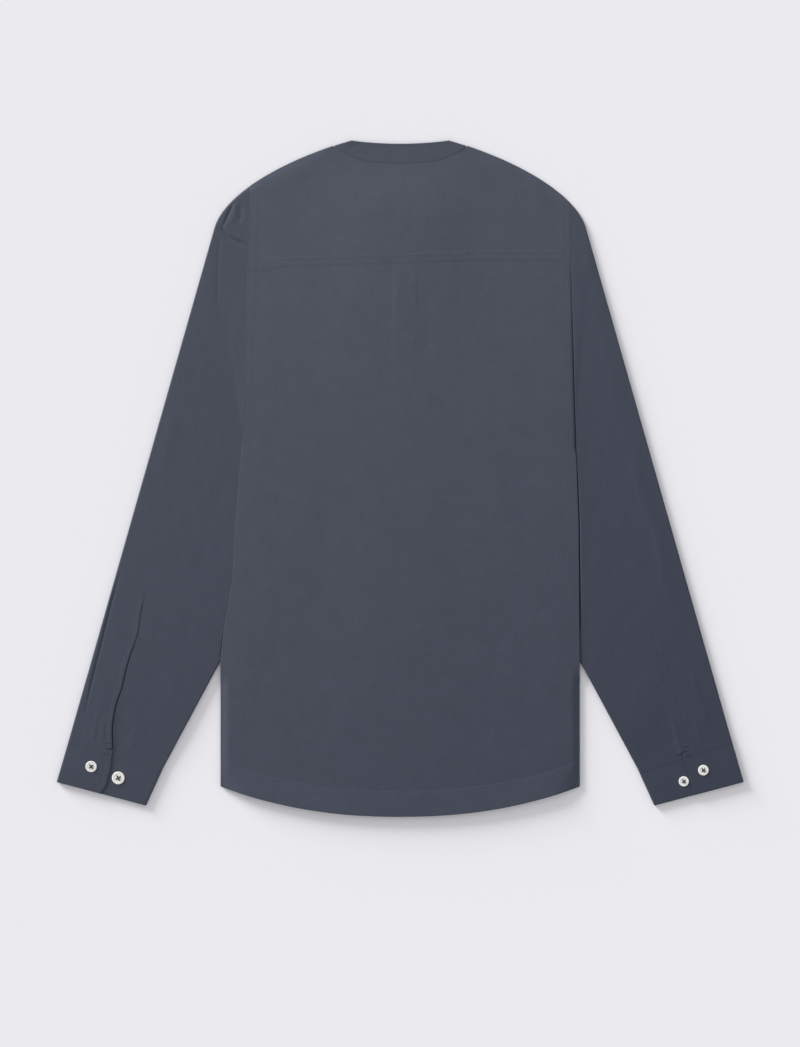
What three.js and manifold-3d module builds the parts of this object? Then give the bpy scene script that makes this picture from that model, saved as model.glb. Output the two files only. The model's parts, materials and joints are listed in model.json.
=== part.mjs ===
// A shirt with a mandarin collar, laid flat on its front: the back is up, the sleeves lie beside it.
// Millimetres. +X is the wearer's right, +Y runs to the collar and +Z is up from the surface.
import * as THREE from "three";
import Module from "manifold-3d";

const wasm = await Module();
wasm.setup();

// Cloth thickness, and the gap that parts two pieces at a seam or where one lies on the other
const WALL = 1.0;
const STIFF_WALL = 1.4;
const SEAM = 0.3;
const ARMHOLE_GAP = 0.4;

// Outline of the laid garment, mirrored left and right
const HALF_LENGTH = 371.5;
const NECK_CORNER = { x: 54, y: 371.5 };
const BAND_END = { x: 74, y: 366.4 };
const SHOULDER_END = { x: 204.3, y: 275 };
const SHOULDER_PULL = { neckOut: 58, neckDown: 15.5, sleeve: 45 };
const NECK_SEAM = { middle: 346, power: 3.2 };
const CUFF_OUTER = { x: 377.5, y: -333.5 };
const CUFF_INNER = { x: 279.3, y: -359.5 };
const CUFF_SEAM_OUTER = { x: 363, y: -283.5 };
const CUFF_SEAM_INNER = { x: 260.7, y: -318.5 };
const HEM = { rise: 33, power: 2.2, halfWidth: 197.4, band: 20, step: 1.2, fold: 0.35 };

// Edges of the body: the armholes down to the armpits, then the side seams
const ARMPIT_Y = 37;
const BODY_SIDES = [
  { y: -372, left: -197.4, right: 197.4 },
  { y: -200, left: -197.4, right: 197.3 },
  { y: -166, left: -193.8, right: 196.8 },
  { y: -110, left: -184.5, right: 196.4 },
  { y: -50, left: -181, right: 196 },
  { y: ARMPIT_Y, left: -174, right: 193 },
  { y: 330, left: -164.8, right: 185.4 },
];

// The yoke seam across the back, and the lap of cloth felled above it
const YOKE_SEAM = [
  { x: -200, y: 224 },
  { x: -168, y: 226 },
  { x: -127, y: 232.5 },
  { x: -30, y: 234.5 },
  { x: 92, y: 239.5 },
  { x: 200, y: 238.5 },
];
const YOKE_MIDDLE = 235;
const LAP = { width: 10, rise: 0.4, step: 1.2 };
const ARMHOLE_LAP = { width: 10, rise: 0.3, fade: 40 };

// Heights of the layers above the surface
const SLEEVE_HEIGHT = 4.8;
const BUTTON_HEIGHT = 2.0;
const NECK_REST = 2.0;
const FIELD_REST = 3.2;
const HEM_REST = 3.0;
const SIDE_LIFT = SLEEVE_HEIGHT + SEAM + 0.2;
const SIDE_SEAM_SHARE = 0.25;
const PLACKET_LIFT = BUTTON_HEIGHT + SEAM;
const UNDERLAP_LIFT = PLACKET_LIFT + WALL + SEAM;
const BACK_OVER_PLACKET = UNDERLAP_LIFT + WALL + SEAM;
const BACK_OVER_SLEEVE = SIDE_LIFT + WALL + SEAM + 0.1;

// Inwards from the side of the body: the sleeve's inner edge, and how far it holds the body up
const SLEEVE_TUCK = [
  { y: -200.6, inset: 0, lifted: 14 },
  { y: -166, inset: 14, lifted: 28 },
  { y: -130, inset: 24, lifted: 36 },
  { y: -90, inset: 26, lifted: 38 },
  { y: -50, inset: 18, lifted: 34 },
  { y: -15, inset: 2, lifted: 22 },
  { y: 6, inset: -ARMHOLE_GAP, lifted: 16 },
  { y: 22, inset: -ARMHOLE_GAP, lifted: 13 },
  { y: ARMPIT_Y, inset: -ARMHOLE_GAP, lifted: 12 },
];
const TUCK_RAMP = 26;
const TUCK_SPAN = { low: -236, lowRamp: 33, high: 112, highRamp: 70 };

// Lengths over which the back comes down from the layers under it
const OVER_SLEEVE = { past: 50, ramp: 40 };
const OVER_PLACKET = { half: 80, ramp: 55, top: 335, topRamp: 45 };
const NECK_EASE = { from: 240, ramp: 120 };
const EDGE_EASE = { hem: 30, side: 9, sideFall: 12, armpit: 30, shoulder: 8, band: 20 };

// Fronts and their opening
const PLACKET_HALF = 16;
const UNDERLAP_EDGE = -13;
const CENTRE_RAMP = 26;
const RIGHT_CENTRE_REACH = 44;
const FRONT_NECK = { x: 74, y: 366.4, depth: 81, bandDepth: 61 };
const PLACKET_DROP = { from: -290, to: -330 };
const FRONT_BUTTONS = { count: 7, top: 262, step: -85, radius: 5.7 };

// Collar band: its ends at the middle front, the roll at the neck corners and its edge at the back
const BAND = {
  end: 0.6, frontNarrowing: 0.76, frontDrop: 4, lapFrom: 30, lapRamp: 14,
  cornerInset: 0.6, cornerDrop: 0.8, backEdge: 368, backBow: 3.5,
};
const BAND_FRONT_LINES = [BAND.end, 18, 26, 36, 48, 60, 69, 73];
const BAND_ROLL_ANGLES = [-90, -45, 0, 45, 90];

// Box pleat under the yoke
const PLEAT = { left: -6.8, right: 18.5, side: 1.4, rise: 1.1, end: 20 };

// Cuffs: where the buttonhole flap ends across the cuff at each depth, and the sleeve slit above it
const CUFFS = [
  {
    name: "left", side: -1, slitTop: 0.42, slitFrom: 0.73,
    flap: [{ depth: 0, share: 0.457 }, { depth: 0.5, share: 0.508 }, { depth: 1, share: 0.492 }],
  },
  {
    name: "right", side: 1, slitTop: 0.5, slitFrom: 0.73,
    flap: [{ depth: 0, share: 0.525 }, { depth: 0.5, share: 0.531 }, { depth: 1, share: 0.553 }],
  },
];
const CUFF_DEPTHS = [0, 0.1, 0.5, 0.9, 1];
const UNDERLAP_SHARE = 0.2;
const SLEEVE_PLACKET = { width: 9, overlap: 1.8 };
const SLIT_WIDTH = 0.8;
const CUFF_LAYER_GAP = 0.35;

// Sleeve heads: how high the armhole seam starts, the share of the sleeve over which it comes down
// to the surface, and how far in from each edge the tube folds over
const SLEEVE_TOP = { left: 321, right: 303 };
const ARMHOLE_REACH = 0.08;
const TUBE_FOLD = { inset: 0.02, angles: [50, 0, -50] };

// Button profile as shares of its radius and height, and its four sewing holes
const BUTTON_PROFILE = [
  [0, 0], [0.8, 0], [1, 0.4], [0.97, 0.85], [0.86, 1], [0.7, 0.66], [0, 0.66],
];
const BUTTON_HOLES = { radius: 0.13, spread: 0.3, sides: 6 };
const BUTTON_SIDES = { cuff: 24, front: 16 };

// Buttons on the cuffs
const CUFF_BUTTONS = [
  { name: "cuff_button_1", x: -339.3, y: -316.4, radius: 6.2, on: "flap" },
  { name: "cuff_button_2", x: -309.7, y: -329, radius: 7.0, on: "underlap" },
  { name: "cuff_button_3", x: 311.6, y: -332.8, radius: 5.6, on: "underlap" },
  { name: "cuff_button_4", x: 333, y: -320.4, radius: 5.8, on: "flap" },
];

// Long soft folds in the sleeves: where along and across, how wide and how high
const SLEEVE_FOLDS = [
  { side: -1, across: 0.13, from: 0.62, to: 0.98, width: 0.07, rise: 0.5 },
  { side: -1, across: 0.3, from: 0.93, to: 1.05, width: 0.05, rise: 0.45 },
  { side: -1, across: 0.4, from: 0.93, to: 1.05, width: 0.04, rise: 0.45 },
  { side: 1, across: 0.42, from: 0.35, to: 0.8, width: 0.09, rise: 0.5 },
  { side: 1, across: 0.3, from: 0.9, to: 1.05, width: 0.05, rise: 0.45 },
  { side: 1, across: 0.2, from: 0.93, to: 1.05, width: 0.05, rise: 0.35 },
];

const clothMaterial = new THREE.MeshStandardMaterial({ color: 0x4a4f5b, roughness: 0.92, metalness: 0 });
const buttonMaterial = new THREE.MeshStandardMaterial({ color: 0xe4e1da, roughness: 0.35, metalness: 0 });

const clamp = (value) => Math.min(1, Math.max(0, value));
const ease = (value) => clamp(value) ** 2 * (3 - 2 * clamp(value));
const mix = (from, to, share) => from + (to - from) * share;

// Straight-line reading of a table whose rows rise in the column named by key
function read(rows, key, at, column) {
  let next = rows.findIndex((row) => row[key] >= at);
  if (next === -1) next = rows.length - 1;
  next = Math.max(1, next);
  const low = rows[next - 1];
  const high = rows[next];
  const share = clamp((at - low[key]) / (high[key] - low[key]));
  return mix(low[column], high[column], share);
}

// A closed wall over a grid. point(i, j, side) gives the inner (0) and the outer (1) face.
function wallGeometry(columns, rows, point, closed = false) {
  const positions = [];
  for (const side of [0, 1]) {
    for (let j = 0; j < rows; j++) {
      for (let i = 0; i < columns; i++) positions.push(...point(i, j, side));
    }
  }
  const at = (i, j, side) => (side * rows + j) * columns + (i % columns);
  const index = [];
  const quad = (a, b, c, d) => index.push(a, b, c, a, c, d);
  const spans = closed ? columns : columns - 1;
  const lastRow = rows - 1;
  const lastColumn = columns - 1;
  for (let i = 0; i < spans; i++) {
    for (let j = 0; j < lastRow; j++) {
      quad(at(i, j, 1), at(i + 1, j, 1), at(i + 1, j + 1, 1), at(i, j + 1, 1));
      quad(at(i, j, 0), at(i, j + 1, 0), at(i + 1, j + 1, 0), at(i + 1, j, 0));
    }
    quad(at(i, 0, 0), at(i + 1, 0, 0), at(i + 1, 0, 1), at(i, 0, 1));
    quad(at(i, lastRow, 1), at(i + 1, lastRow, 1), at(i + 1, lastRow, 0), at(i, lastRow, 0));
  }
  for (let j = 0; j < lastRow && !closed; j++) {
    quad(at(0, j, 0), at(0, j, 1), at(0, j + 1, 1), at(0, j + 1, 0));
    quad(at(lastColumn, j, 1), at(lastColumn, j, 0), at(lastColumn, j + 1, 0), at(lastColumn, j + 1, 1));
  }
  const geometry = new THREE.BufferGeometry();
  geometry.setAttribute("position", new THREE.Float32BufferAttribute(positions, 3));
  geometry.setIndex(volume(positions, index) < 0 ? index.toReversed() : index);
  return geometry;
}

function volume(positions, index) {
  const corner = (k) => new THREE.Vector3().fromArray(positions, index[k] * 3);
  let total = 0;
  for (let k = 0; k < index.length; k += 3) {
    total += corner(k).dot(corner(k + 1).cross(corner(k + 2))) / 6;
  }
  return total;
}

const shirt = new THREE.Group();

function addPiece(name, geometry, material = clothMaterial) {
  geometry.computeVertexNormals();
  const piece = new THREE.Mesh(geometry, material);
  piece.name = name;
  shirt.add(piece);
}

// Shoulder line from the neck round to the straight sleeve, on the wearer's right
const sleeveRun = new THREE.Vector2(CUFF_OUTER.x - SHOULDER_END.x, CUFF_OUTER.y - SHOULDER_END.y).normalize();
const shoulderCurve = new THREE.CubicBezierCurve(
  new THREE.Vector2(NECK_CORNER.x, NECK_CORNER.y),
  new THREE.Vector2(NECK_CORNER.x + SHOULDER_PULL.neckOut, NECK_CORNER.y - SHOULDER_PULL.neckDown),
  new THREE.Vector2(
    SHOULDER_END.x - SHOULDER_PULL.sleeve * sleeveRun.x,
    SHOULDER_END.y - SHOULDER_PULL.sleeve * sleeveRun.y,
  ),
  new THREE.Vector2(SHOULDER_END.x, SHOULDER_END.y),
);

// Share of the shoulder curve at which it is x away from the middle
function shoulderShare(x) {
  let low = 0;
  let high = 1;
  for (let step = 0; step < 30; step++) {
    const middle = (low + high) / 2;
    if (shoulderCurve.getPoint(middle).x < x) low = middle;
    else high = middle;
  }
  return low;
}

const shoulderY = (x) => shoulderCurve.getPoint(shoulderShare(Math.abs(x))).y;
const neckSeamY = (x) =>
  mix(NECK_SEAM.middle, BAND_END.y, clamp(Math.abs(x) / BAND_END.x) ** NECK_SEAM.power);
const backTopY = (x) => (Math.abs(x) < BAND_END.x ? neckSeamY(x) : shoulderY(x));
const hemY = (x) => HEM.rise * clamp(Math.abs(x) / HEM.halfWidth) ** HEM.power - HALF_LENGTH;
const yokeSeamY = (x) => read(YOKE_SEAM, "x", x, "y");
const sideX = (side, y) => read(BODY_SIDES, "y", y, side < 0 ? "left" : "right");

function frontTopY(x) {
  const share = Math.abs(x) / FRONT_NECK.x;
  if (share >= 1) return shoulderY(x);
  return FRONT_NECK.y - FRONT_NECK.depth * Math.sqrt(1 - share ** 2);
}

// How far the sleeves lift the front and the back at the sides, from 0 to 1
function sideShare(y) {
  const above = ease((y - TUCK_SPAN.low) / TUCK_SPAN.lowRamp);
  return above * ease((TUCK_SPAN.high - y) / TUCK_SPAN.highRamp);
}

// The side seam itself keeps a little of that lift down to the hem
function seamShare(y) {
  return y < ARMPIT_Y ? Math.max(sideShare(y), SIDE_SEAM_SHARE) : sideShare(y);
}

// How far the button placket lifts what lies over it, from 0 to 1
function placketShare(y) {
  return ease((y - PLACKET_DROP.to) / (PLACKET_DROP.from - PLACKET_DROP.to));
}

function frontSideLift(x, y) {
  const side = Math.sign(x);
  const inwards = Math.abs(sideX(side, y) - x);
  const cover = read(SLEEVE_TUCK, "y", y, "lifted");
  return SIDE_LIFT * seamShare(y) * ease((cover + TUCK_RAMP - inwards) / TUCK_RAMP);
}

function leftFrontLow(x, y) {
  const near = ease((x + PLACKET_HALF + CENTRE_RAMP) / CENTRE_RAMP);
  return frontSideLift(x, y) + PLACKET_LIFT * placketShare(y) * near;
}

function rightFrontLow(x, y) {
  const lift = mix(WALL + SEAM, UNDERLAP_LIFT, placketShare(y));
  return frontSideLift(x, y) + lift * ease((RIGHT_CENTRE_REACH - x) / CENTRE_RAMP);
}

// Underside of the back and the yoke
function backLow(x, y) {
  const side = x < 0 ? -1 : 1;
  const inwards = Math.abs(sideX(side, y) - x);
  const cover = read(SLEEVE_TUCK, "y", y, "lifted");
  const rest = mix(NECK_REST, FIELD_REST, ease((NECK_EASE.from - y) / NECK_EASE.ramp));
  const span = BACK_OVER_SLEEVE - rest;
  const overSleeve = sideShare(y) * ease((cover + OVER_SLEEVE.past - inwards) / OVER_SLEEVE.ramp);
  const placketTop = mix(HEM_REST, BACK_OVER_PLACKET, placketShare(y));
  const nearPlacket = ease((OVER_PLACKET.half - Math.abs(x)) / OVER_PLACKET.ramp)
    * ease((OVER_PLACKET.top - y) / OVER_PLACKET.topRamp);
  const overPlacket = ((placketTop - rest) / span) * nearPlacket;
  const field = rest + span * (1 - (1 - overSleeve) * (1 - overPlacket));
  const frontEdge = (x < 0 ? leftFrontLow(x, y) : rightFrontLow(x, y)) + WALL + SEAM;
  const atHem = Math.max(frontEdge, Math.min(HEM_REST, frontEdge + inwards / EDGE_EASE.sideFall));
  const hung = Math.max(frontEdge, mix(atHem, field, ease((y - hemY(x)) / EDGE_EASE.hem)));
  const sideRoll = Math.max(ease(inwards / EDGE_EASE.side), ease((y - ARMPIT_Y) / EDGE_EASE.armpit));
  const rolled = mix(frontEdge, hung, sideRoll);
  const besideBand = 1 - ease((Math.abs(x) - BAND_END.x) / EDGE_EASE.band);
  const topRoll = ease((shoulderY(x) - y) / EDGE_EASE.shoulder) + besideBand;
  return mix(WALL + SEAM, rolled, clamp(topRoll));
}

// Grid lines of the body, from one side edge to the other and from the hem to the yoke seam
const EDGE_STEPS = [0, 3, 9.4, 10.6];
const OUTER_SHARES = [0.35, 0.56, 0.78];
const INNER_EDGE = 120;
const BACK_LINES = [
  -INNER_EDGE, -95, -BAND_END.x, -66, -54, -40, -24, PLEAT.left - PLEAT.side, PLEAT.left,
  6, PLEAT.right, PLEAT.right + PLEAT.side, 40, 54, 66, BAND_END.x, 95, INNER_EDGE,
];
const LEFT_FRONT_LINES = [-INNER_EDGE, -BAND_END.x, -73, -69, -60, -48, -36, -26, -PLACKET_HALF - SEAM];
const RIGHT_FRONT_LINES = [UNDERLAP_EDGE, 0, 18, 26, 36, 48, 60, 69, 73, BAND_END.x, INNER_EDGE];
const BODY_LEVELS = [
  -HALF_LENGTH, HEM.band - HALF_LENGTH, HEM.band + HEM.step - HALF_LENGTH, -330, -290, -250, -220,
  -200, -166, -130, -90, -50, -15, ARMPIT_Y, 60, 85, 112, 165, YOKE_MIDDLE,
];
const YOKE_STEPS = [0, 0.3, 0.55, 0.75, 0.88, 0.95, 1];
const HEM_BOW_BELOW = -200;
const SEAM_BOW_REACH = 60;

// Columns of one half of the body at a level: close to the side edge, then out to the middle lines
function sideColumns(side, y) {
  const edge = sideX(side, y);
  const near = EDGE_STEPS.map((step) => edge - side * step);
  const far = OUTER_SHARES.map((share) => mix(edge - side * EDGE_STEPS.at(-1), side * INNER_EDGE, share));
  return [...near, ...far];
}

function columnsAt(lines, left, right, y) {
  return [
    ...(left ? sideColumns(-1, y) : []),
    ...lines,
    ...(right ? sideColumns(1, y).toReversed() : []),
  ];
}

// A level bends with the hem near the bottom and with the yoke seam near the top
function levelY(level, x) {
  const hemBow = (hemY(x) + HALF_LENGTH) * clamp((HEM_BOW_BELOW - level) / (HEM_BOW_BELOW + HALF_LENGTH));
  const seamBow = (yokeSeamY(x) - YOKE_MIDDLE) * clamp(1 - Math.abs(YOKE_MIDDLE - level) / SEAM_BOW_REACH);
  return level + hemBow + seamBow;
}

// The box pleat stands up from the back, highest under the yoke seam
function pleatRise(x, y) {
  const left = ease((x - PLEAT.left + PLEAT.side) / PLEAT.side);
  const right = ease((PLEAT.right + PLEAT.side - x) / PLEAT.side);
  return PLEAT.rise * left * right * ease((y - PLEAT.end) / (YOKE_MIDDLE - PLEAT.end));
}

// The felled lap along the armhole, raised in the outer face
function armholeRise(x, y) {
  const inwards = Math.abs(sideX(x < 0 ? -1 : 1, y) - x);
  return inwards < ARMHOLE_LAP.width ? ARMHOLE_LAP.rise * ease((y - ARMPIT_Y) / ARMHOLE_LAP.fade) : 0;
}

// Back below the yoke, with its pleat and its turned hem
function makeBackPanel() {
  const columns = columnsAt(BACK_LINES, true, true, 0).length;
  const geometry = wallGeometry(columns, BODY_LEVELS.length, (i, j, side) => {
    const level = BODY_LEVELS[j];
    const x = columnsAt(BACK_LINES, true, true, level)[i];
    const y = levelY(level, x) - (j === BODY_LEVELS.length - 1 ? SEAM / 2 : 0);
    const hemFold = j < 2 ? HEM.fold : 0;
    const raised = side ? WALL + hemFold + armholeRise(x, y) : 0;
    return [x, y, backLow(x, y) + pleatRise(x, y) + raised];
  });
  addPiece("back_panel", geometry);
}

// Yoke, from its seam on the back up to the neck and the shoulder lines
function makeYoke() {
  const columns = columnsAt(BACK_LINES, true, true, YOKE_MIDDLE).length;
  const rows = [0, LAP.width, LAP.width + LAP.step];
  const geometry = wallGeometry(columns, rows.length + YOKE_STEPS.length - 1, (i, j, side) => {
    let x = columnsAt(BACK_LINES, true, true, YOKE_MIDDLE)[i];
    const bottom = yokeSeamY(x) + SEAM / 2;
    const top = backTopY(x);
    const share = YOKE_STEPS[Math.max(0, j - rows.length + 1)];
    const y = j < rows.length ? bottom + rows[j] : mix(bottom + rows[2], top, share);
    x = columnsAt(BACK_LINES, true, true, y)[i];
    const lap = Math.max(j < 2 ? LAP.rise : 0, armholeRise(x, y));
    return [x, Math.min(y, backTopY(x)), backLow(x, y) + side * (WALL + lap)];
  });
  addPiece("back_yoke", geometry);
}

// One front, from the hem up to its neckline and the shoulder seam
function makeFront(name, lines, isLeft, low) {
  const columns = columnsAt(lines, isLeft, !isLeft, 0).length;
  const levels = BODY_LEVELS.slice(0, -1);
  const geometry = wallGeometry(columns, levels.length + YOKE_STEPS.length, (i, j, side) => {
    if (j < levels.length) {
      const x = columnsAt(lines, isLeft, !isLeft, levels[j])[i];
      const y = levelY(levels[j], x);
      return [x, y, low(x, y) + side * WALL];
    }
    let x = columnsAt(lines, isLeft, !isLeft, YOKE_MIDDLE)[i];
    const y = mix(yokeSeamY(x), frontTopY(x) - SEAM / 2, YOKE_STEPS[j - levels.length]);
    x = columnsAt(lines, isLeft, !isLeft, y)[i];
    return [x, Math.min(y, frontTopY(x)), low(x, y) + side * WALL];
  });
  addPiece(name, geometry);
}

// Strip with the buttonholes, down the middle under the buttons' own side
function makeFrontPlacket() {
  const edges = [-PLACKET_HALF, 0, PLACKET_HALF];
  const levels = BODY_LEVELS;
  const geometry = wallGeometry(edges.length, levels.length + 1, (i, j, side) => {
    const x = edges[i];
    const y = j < levels.length ? levelY(levels[j], x) : frontTopY(x) - SEAM / 2;
    return [x, y, PLACKET_LIFT * placketShare(y) + side * WALL];
  });
  addPiece("front_placket", geometry);
}

// Collar band: one strip from the middle front, round both neck corners and across the back
function makeCollarBand() {
  const backLines = BACK_LINES.filter((x) => Math.abs(x) < BAND_END.x - 2);
  const radius = (NECK_REST + STIFF_WALL) / 2;
  const stations = [];
  const frontStation = (side, x) => {
    const share = Math.sqrt(1 - (x / FRONT_NECK.x) ** 2);
    const rise = PLACKET_LIFT * ease((BAND.lapFrom - x) / BAND.lapRamp);
    stations.push({
      seam: [side * x, FRONT_NECK.y - FRONT_NECK.depth * share + 2 * SEAM],
      edge: [
        side * Math.max(BAND.end, x * BAND.frontNarrowing),
        NECK_CORNER.y - BAND.frontDrop - FRONT_NECK.bandDepth * share,
      ],
      low: [rise, rise + STIFF_WALL],
    });
  };
  const corner = (side, angle) => {
    const turn = THREE.MathUtils.degToRad(angle);
    const out = (size) => [Math.cos(turn) * size, radius + Math.sin(turn) * size];
    const outer = out(radius);
    const inner = out(radius - STIFF_WALL);
    stations.push({
      seam: [side * (BAND_END.x - radius - BAND.cornerInset), BAND_END.y - BAND.cornerDrop],
      edge: [side * (NECK_CORNER.x - radius), NECK_CORNER.y],
      push: [side * inner[0], side * outer[0]],
      low: [inner[1], outer[1]],
    });
  };
  BAND_FRONT_LINES.forEach((x) => frontStation(-1, x));
  BAND_ROLL_ANGLES.forEach((angle) => corner(-1, angle));
  backLines.forEach((x) => {
    const share = x / BAND_END.x;
    stations.push({
      seam: [x, neckSeamY(x) + SEAM],
      edge: [NECK_CORNER.x * share, BAND.backEdge + BAND.backBow * share ** 2],
      low: [NECK_REST, NECK_REST + STIFF_WALL],
      back: true,
    });
  });
  BAND_ROLL_ANGLES.toReversed().forEach((angle) => corner(1, angle));
  BAND_FRONT_LINES.toReversed().forEach((x) => frontStation(1, x));
  const across = [0, 0.5, 1];
  const geometry = wallGeometry(stations.length, across.length, (i, j, side) => {
    const station = stations[i];
    const x = mix(station.seam[0], station.edge[0], across[j]);
    const y = mix(station.seam[1], station.edge[1], across[j]);
    const turned = station.push || station.back;
    const push = station.push ? station.push[side] : 0;
    const height = turned ? station.low[side] : station.low[1 - side];
    return [x + push, y, height];
  });
  addPiece("collar_band", geometry);
}

// Plan of a sleeve: its outer and inner edges at a share of its length, from the armhole to the cuff
function sleeveEdges(side) {
  const topX = Math.abs(sideX(side, side < 0 ? SLEEVE_TOP.left : SLEEVE_TOP.right)) + ARMHOLE_GAP;
  const topShare = shoulderShare(topX);
  const outer = new THREE.CurvePath();
  const bend = [];
  for (let step = 0; step <= 8; step++) bend.push(shoulderCurve.getPoint(mix(topShare, 1, step / 8)));
  outer.add(new THREE.SplineCurve(bend));
  outer.add(new THREE.LineCurve(bend.at(-1), new THREE.Vector2(CUFF_SEAM_OUTER.x, CUFF_SEAM_OUTER.y)));
  const hidden = SLEEVE_TUCK.toReversed().map(
    (row) => new THREE.Vector2(Math.abs(sideX(side, row.y)) - row.inset, row.y),
  );
  const inner = new THREE.CurvePath();
  inner.add(new THREE.SplineCurve(hidden));
  inner.add(new THREE.LineCurve(hidden.at(-1), new THREE.Vector2(CUFF_SEAM_INNER.x, CUFF_SEAM_INNER.y)));
  return { outer, inner };
}

const sleevePlans = new Map([[-1, sleeveEdges(-1)], [1, sleeveEdges(1)]]);
const SLEEVE_STATIONS = [
  0, ARMHOLE_REACH / 3, ARMHOLE_REACH * 0.6, ARMHOLE_REACH, 0.14, 0.2, 0.28,
  0.37, 0.47, 0.57, 0.66, 0.73, 0.8, 0.87, 0.92, 0.96, 1,
];
const SLEEVE_ACROSS = [0, 0.06, 0.13, 0.2, 0.25, 0.3, 0.35, 0.42, 0.53, 0.7, 0.86, 1];

function sleeveFold(side, along, across) {
  let rise = 0;
  for (const fold of SLEEVE_FOLDS.filter((row) => row.side === side)) {
    const span = (along - fold.from) / (fold.to - fold.from);
    const near = ease(1 - Math.abs(across - fold.across) / fold.width);
    rise += fold.rise * near * ease(span * 3) * ease((1 - span) * 3);
  }
  return rise;
}

// Section of a sleeve: where it starts and runs, and the heights of its two walls
function sleeveSection(side, along) {
  const plan = sleevePlans.get(side);
  const from = plan.outer.getPointAt(along);
  const to = plan.inner.getPointAt(along);
  const width = from.distanceTo(to);
  const free = ease(along / ARMHOLE_REACH);
  const heights = (across) => {
    const x = side * mix(from.x, to.x, across);
    const y = mix(from.y, to.y, across);
    const edge = sideX(side, y);
    const low = mix(frontSideLift(edge, y), 0, free);
    const high = mix(backLow(edge, y) + WALL, SLEEVE_HEIGHT, free);
    return { x, y, low, high };
  };
  return { from, to, width, heights };
}

function sleevePoint(side, along, across, up, outer) {
  const section = sleeveSection(side, along);
  const at = section.heights(across);
  const fold = up ? sleeveFold(side, along, across) : 0;
  const height = up ? at.high - (outer ? 0 : WALL) + fold : at.low + (outer ? 0 : WALL);
  return [at.x, at.y, height];
}

// Sleeve: one flattened tube, cut open above the cuff
function makeSleeve(name, side) {
  const inset = TUBE_FOLD.inset;
  const flat = SLEEVE_ACROSS.map((share) => mix(inset, 1 - inset, share));
  const ring = [
    ...flat.map((across) => ({ across, up: true })),
    ...TUBE_FOLD.angles.map((angle) => ({ end: 1, angle })),
    ...flat.toReversed().map((across) => ({ across, up: false })),
    ...TUBE_FOLD.angles.toReversed().map((angle) => ({ end: 0, angle })),
  ];
  const geometry = wallGeometry(ring.length, SLEEVE_STATIONS.length, (i, j, outer) => {
    const along = SLEEVE_STATIONS[j];
    const stop = ring[i];
    if (stop.angle === undefined) return sleevePoint(side, along, stop.across, stop.up, outer === 1);
    const section = sleeveSection(side, along);
    const at = section.heights(stop.end);
    const turn = THREE.MathUtils.degToRad(stop.angle);
    const high = (at.high - at.low) / 2 - (outer ? 0 : WALL);
    const reach = section.width * inset - (outer ? 0 : WALL);
    const across = stop.end ? 1 - inset + (Math.cos(turn) * reach) / section.width
      : inset - (Math.cos(turn) * reach) / section.width;
    const edge = section.heights(across);
    return [edge.x, edge.y, (at.high + at.low) / 2 + Math.sin(turn) * high];
  }, true);
  const cuff = CUFFS.find((row) => row.side === side);
  addPiece(name, toGeometry(toSolid(geometry).subtract(toSolid(slitCut(cuff)))));
}

// Where the slit runs across the sleeve, as a share of its width
function slitAcross(cuff, along) {
  return mix(cuff.slitTop, cuff.flap[0].share, (along - cuff.slitFrom) / (1 - cuff.slitFrom));
}

// The slit above the cuff, cut through the sleeve's upper wall under its bound edge
function slitCut(cuff) {
  const rows = SLEEVE_STATIONS.filter((along) => along >= cuff.slitFrom);
  return wallGeometry(2, rows.length + 1, (i, j, outer) => {
    const along = rows[Math.min(j, rows.length - 1)];
    const section = sleeveSection(cuff.side, along);
    const offset = (i - 0.5) * SLIT_WIDTH - SLEEVE_PLACKET.overlap;
    const at = section.heights(slitAcross(cuff, along) + offset / section.width);
    const past = j < rows.length ? 0 : SLIT_WIDTH;
    const height = outer ? at.high + WALL : at.high - WALL - SEAM;
    return [at.x + cuff.side * sleeveRun.x * past, at.y + sleeveRun.y * past, height];
  });
}

// Bound edge of the sleeve slit, laid on the sleeve's upper wall
function makeSleevePlacket(cuff) {
  const rows = SLEEVE_STATIONS.filter((along) => along >= cuff.slitFrom);
  const geometry = wallGeometry(3, rows.length, (i, j, outer) => {
    const section = sleeveSection(cuff.side, rows[j]);
    const across = slitAcross(cuff, rows[j]) - ((2 - i) / 2) * (SLEEVE_PLACKET.width / section.width);
    const [x, y, z] = sleevePoint(cuff.side, rows[j], across, true, true);
    return [x, y, z + SEAM + outer * WALL];
  });
  addPiece(`sleeve_placket_${cuff.name}`, geometry);
}

// Cuff: one strip from the flap's end round the sleeve to the end that lies under the flap
const CUFF_LOW = STIFF_WALL / 2;
const CUFF_UNDERLAP = CUFF_LOW + STIFF_WALL + CUFF_LAYER_GAP;
const CUFF_FLAP = CUFF_UNDERLAP + STIFF_WALL + CUFF_LAYER_GAP;

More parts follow.
